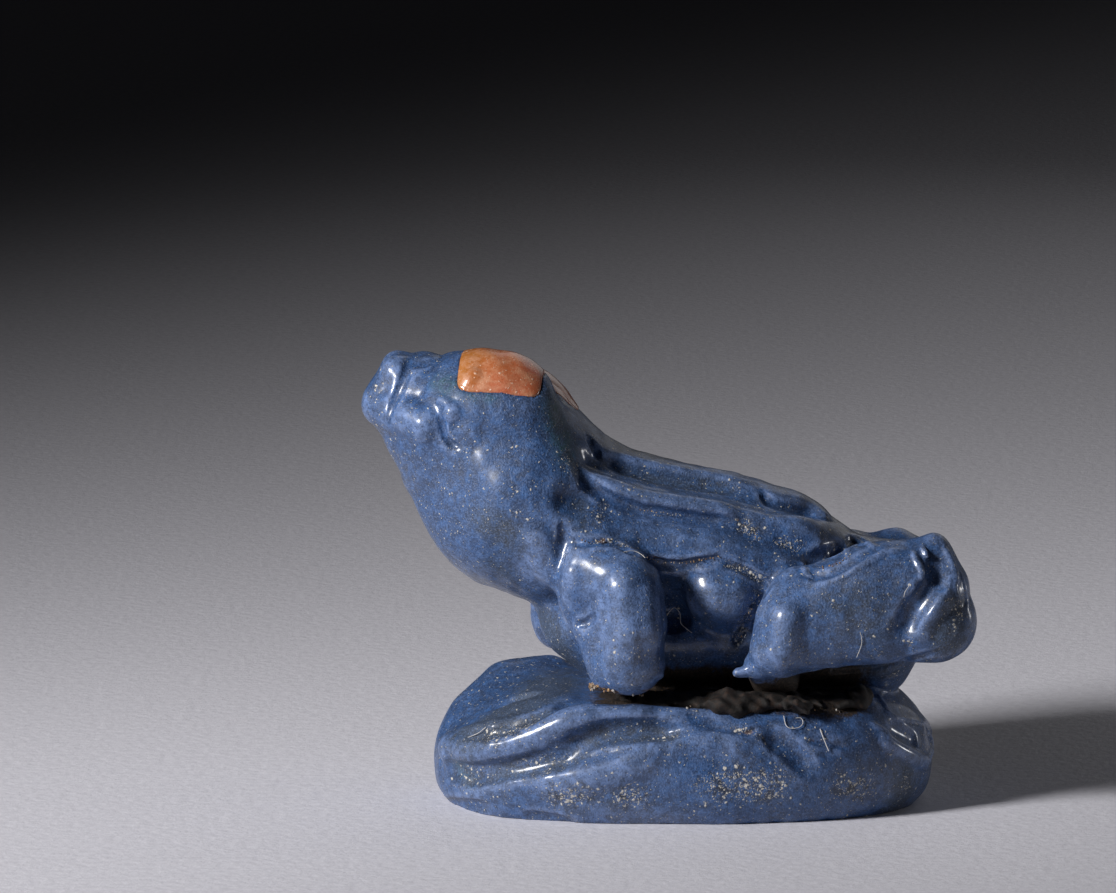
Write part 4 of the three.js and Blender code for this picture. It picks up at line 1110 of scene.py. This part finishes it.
def grow(name, paths, group, values):
    """Runs a node group over bare paths and keeps what it makes as a plain mesh."""
    points = np.concatenate(paths) * MM
    edges, first = [], 0
    for way in paths:
        edges += [(first + i, first + i + 1) for i in range(len(way) - 1)]
        first += len(way)
    mesh = bpy.data.meshes.new(name)
    mesh.from_pydata(points.tolist(), edges, [])
    made = add_object(name, mesh)
    modifier = made.modifiers.new(name, "NODES")
    modifier.node_group = group
    for item in group.interface.items_tree:
        if item.in_out == "INPUT" and item.name in values:
            modifier[item.identifier] = values[item.name]
    evaluated = made.evaluated_get(bpy.context.evaluated_depsgraph_get())
    grown = bpy.data.meshes.new_from_object(evaluated)
    made.modifiers.clear()
    made.data = grown
    return made


def random_vector(group, low, high, seed):
    node = add_step(group, "FunctionNodeRandomValue", {}, data_type="FLOAT_VECTOR")
    live = {socket.name: socket for socket in node.inputs if socket.enabled}
    for name, value in (("Min", low), ("Max", high), ("Seed", seed)):
        put(group, live[name], value)
    return next(socket for socket in node.outputs if socket.enabled)


def scaled(group, vector, scale):
    inputs = {0: vector, "Scale": scale}
    return add_step(group, "ShaderNodeVectorMath", inputs, operation="SCALE").outputs[0]


grain_group, given, result = node_group("grains along a path", [
    ("Spacing", "NodeSocketFloat"), ("Size", "NodeSocketFloat"), ("Spread", "NodeSocketFloat"),
    ("Seed", "NodeSocketInt"), ("Material", "NodeSocketMaterial"),
])
curve = add_step(grain_group, "GeometryNodeMeshToCurve", {"Mesh": given["Geometry"]})
spaced = add_step(grain_group, "GeometryNodeCurveToPoints",
                  {"Curve": curve.outputs[0], "Length": given["Spacing"]}, mode="LENGTH")
scatter = random_vector(grain_group, (-1, -1, -1), (1, 1, 1), given["Seed"])
offset = scaled(grain_group, scatter, given["Spread"])
moved = add_step(grain_group, "GeometryNodeSetPosition",
                 {"Geometry": spaced.outputs["Points"], "Offset": offset})
ball = add_step(grain_group, "GeometryNodeMeshIcoSphere", {"Radius": 1.0, "Subdivisions": 2})
bumps = add_step(grain_group, "ShaderNodeTexNoise", {"Scale": 1.3})
push = add_math(grain_group, "SUBTRACT", bumps.outputs["Fac"], 0.55)
push = add_math(grain_group, "MULTIPLY", push, 1.6)
push = scaled(grain_group, grain_group.nodes.new("GeometryNodeInputNormal").outputs[0], push)
rough_ball = add_step(grain_group, "GeometryNodeSetPosition",
                      {"Geometry": ball.outputs["Mesh"], "Offset": push})
turn = random_vector(grain_group, (0, 0, 0), (6.28, 6.28, 6.28), given["Seed"])
next_seed = add_math(grain_group, "ADD", given["Seed"], 1.0)
stretch = random_vector(grain_group, (0.3, 0.3, 0.3), (1.1, 0.8, 0.7), next_seed)
placed = add_step(grain_group, "GeometryNodeInstanceOnPoints", {
    "Points": moved.outputs[0], "Instance": rough_ball.outputs[0], "Rotation": turn,
    "Scale": scaled(grain_group, stretch, given["Size"])})
real = add_step(grain_group, "GeometryNodeRealizeInstances", {"Geometry": placed.outputs[0]})
coloured = add_step(grain_group, "GeometryNodeSetMaterial",
                    {"Geometry": real.outputs[0], "Material": given["Material"]})
grain_group.links.new(coloured.outputs[0], result["Geometry"])

crumb_earth, tree, shader = start_material("crumbs of earth")
where = object_place(tree)
patchy = add_range(tree, add_noise(tree, where, 5500, 1), 0.4, 0.6)
colour = add_mix(tree, patchy, (0.12, 0.055, 0.02, 1), (0.42, 0.26, 0.12, 1))
greyer = add_noise(tree, where, 2500, 1)
colour = add_mix(tree, add_range(tree, greyer, 0.5, 0.62), colour, (0.3, 0.28, 0.26, 1))
tree.links.new(colour, shader.inputs["Base Color"])
shader.inputs["Roughness"].default_value = 0.5
add_bump(tree, shader, add_noise(tree, where, 40000, 2), 0.000004)
first_seed = 11
for number, (size, per_mm, spread, places) in enumerate(crumb_paths):
    on_it = sight_places(in_short_steps(places, mark_step))
    values = {"Spacing": MM / per_mm, "Size": size * MM, "Spread": spread * MM,
              "Seed": first_seed + number, "Material": crumb_earth}
    crumbs = grow(f"crumbs_{number + 1}", [on_it + shift], grain_group, values)
    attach(crumbs, "root")


# Dust fibres: loose hairs of lint, white but for a red-brown one across the crevice. They only rest
# on the glass, each a little clear of it.
fibre_group, given, result = node_group("fibre along a path", [
    ("Radius", "NodeSocketFloat"), ("Material", "NodeSocketMaterial")])
curve = add_step(fibre_group, "GeometryNodeMeshToCurve", {"Mesh": given["Geometry"]})
ring = add_step(fibre_group, "GeometryNodeCurvePrimitiveCircle",
                {"Resolution": 6, "Radius": given["Radius"]})
tube = add_step(fibre_group, "GeometryNodeCurveToMesh",
                {"Curve": curve.outputs[0], "Profile Curve": ring.outputs[0], "Fill Caps": True})
real = add_step(fibre_group, "GeometryNodeRealizeInstances", {"Geometry": tube.outputs[0]})
coloured = add_step(fibre_group, "GeometryNodeSetMaterial",
                    {"Geometry": real.outputs[0], "Material": given["Material"]})
fibre_group.links.new(coloured.outputs[0], result["Geometry"])


def lint_material(name, pale, tinted):
    made, tree, shader = start_material(name)
    colour = add_mix(tree, add_noise(tree, object_place(tree), 9000, 2), pale, tinted)
    tree.links.new(colour, shader.inputs["Base Color"])
    shader.inputs["Roughness"].default_value = 0.5
    return made


white_lint = lint_material("white lint", (0.75, 0.73, 0.7, 1), (0.4, 0.38, 0.36, 1))
brown_lint = lint_material("red-brown lint", (0.3, 0.06, 0.02, 1), (0.12, 0.02, 0.01, 1))


def curve_through(points, steps=8):
    """A smooth path through the points."""
    ends = np.concatenate([points[:1], points, points[-1:]])
    path = []
    for a, b, c, d in zip(ends, ends[1:], ends[2:], ends[3:]):
        for t in np.arange(steps) / steps:
            path.append(0.5 * (2 * b + (c - a) * t + (2 * a - 5 * b + 4 * c - d) * t**2
                               + (3 * b - a - 3 * c + d) * t**3))
    path.append(points[-1])
    return np.array(path)


fibre_lift = 0.03
fibres = [
    (0.009, white_lint, [(2.81, 1.25), (2.88, 1.06), (2.97, 0.84)]),
    (0.007, white_lint, [(2.15, 1.49), (2.19, 1.32), (2.28, 1.26), (2.43, 1.28),
        (2.5, 1.36), (2.46, 1.45), (2.37, 1.45)]),
    (0.007, white_lint, [(-0.94, 4.41), (-0.83, 4.47), (-0.7, 4.52), (-0.56, 4.52),
        (-0.45, 4.47), (-0.37, 4.4)]),
    (0.007, white_lint, [(0.03, 3.35), (0.1, 3.44), (0.17, 3.48), (0.26, 3.38),
        (0.28, 3.2), (0.39, 3.09), (0.48, 3.02)]),
    (0.006, white_lint, [(3.53, 3.03), (3.56, 2.92), (3.55, 2.78), (3.47, 2.57)]),
    (0.01, brown_lint, [(1.21, 2.21), (1.19, 2), (1.23, 1.82), (1.19, 1.65)]),
    (0.005, white_lint, [(4.41, 3.88), (4.34, 3.77), (4.32, 3.68)]),
    (0.006, white_lint, [(-3.82, 1.02), (-3.62, 1.08), (-3.4, 1.17), (-3.26, 1.28)]),
]
for number, (radius, lint, places) in enumerate(fibres):
    resting = sight_places(places) + fibre_lift * sight_back
    fibre = grow(f"fibre_{number + 1}", [curve_through(resting) + shift], fibre_group,
                 {"Radius": radius * MM, "Material": lint})
    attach(fibre, "root")


# The table: a sheet of pale paper with a fine grain, laid flat. It is part of the scene, not of the
# amulet.
paper, tree, shader = start_material("paper")
pulp = add_noise(tree, object_place(tree), 5000, 5, 0.65)
colour = add_mix(tree, add_range(tree, pulp, 0.3, 0.7), (0.66, 0.65, 0.7, 1), (0.78, 0.77, 0.82, 1))
tree.links.new(colour, shader.inputs["Base Color"])
shader.inputs["Roughness"].default_value = 0.9
add_bump(tree, shader, pulp, 0.00002)
floor_half = 600.0
floor_mesh = bpy.data.meshes.new("table")
signs = ((-1, -1), (1, -1), (1, 1), (-1, 1))
corners = [(x * floor_half * MM, y * floor_half * MM, 0) for x, y in signs]
floor_mesh.from_pydata(corners, [], [(0, 1, 2, 3)])
floor = add_object("table", floor_mesh)
floor_mesh.materials.append(paper)


# The light: a soft box with a grid close by at the left and front, a wide weak one far behind at
# the right, and a small low lamp at the right that draws the bright rims on the rear.
def add_lamp(name, place, aim, size, power, colour, spread):
    data = bpy.data.lights.new(name, "AREA")
    data.shape = "RECTANGLE"
    data.size, data.size_y = size[0] * MM, size[1] * MM
    data.energy = power
    data.color = colour
    data.spread = np.radians(spread)
    lamp = add_object(name, data)
    lamp.location = Vector(place) * MM
    lamp.rotation_euler = (Vector(place) - Vector(aim)).to_track_quat("Z", "Y").to_euler()


add_lamp("soft box", (-66, -43, 42), (12, 14, 3), (18, 18), 0.0126, (1, 0.99, 1), 61)
add_lamp("wide lamp", (36.2, 70.1, 46), (12.8, 0, 0), (70, 70), 0.0016, (1, 0.99, 1), 76)
add_lamp("rim lamp", (60, 16, 9), (4, 0, 3), (4, 4), 0.0036, (1, 0.99, 1), 168)

world = bpy.data.worlds.new("room")
world.use_nodes = True
world.node_tree.nodes["Background"].inputs["Color"].default_value = (0.5, 0.5, 0.55, 1)
world.node_tree.nodes["Background"].inputs["Strength"].default_value = 0.009
bpy.context.scene.world = world
bpy.context.scene.view_settings.view_transform = "Standard"
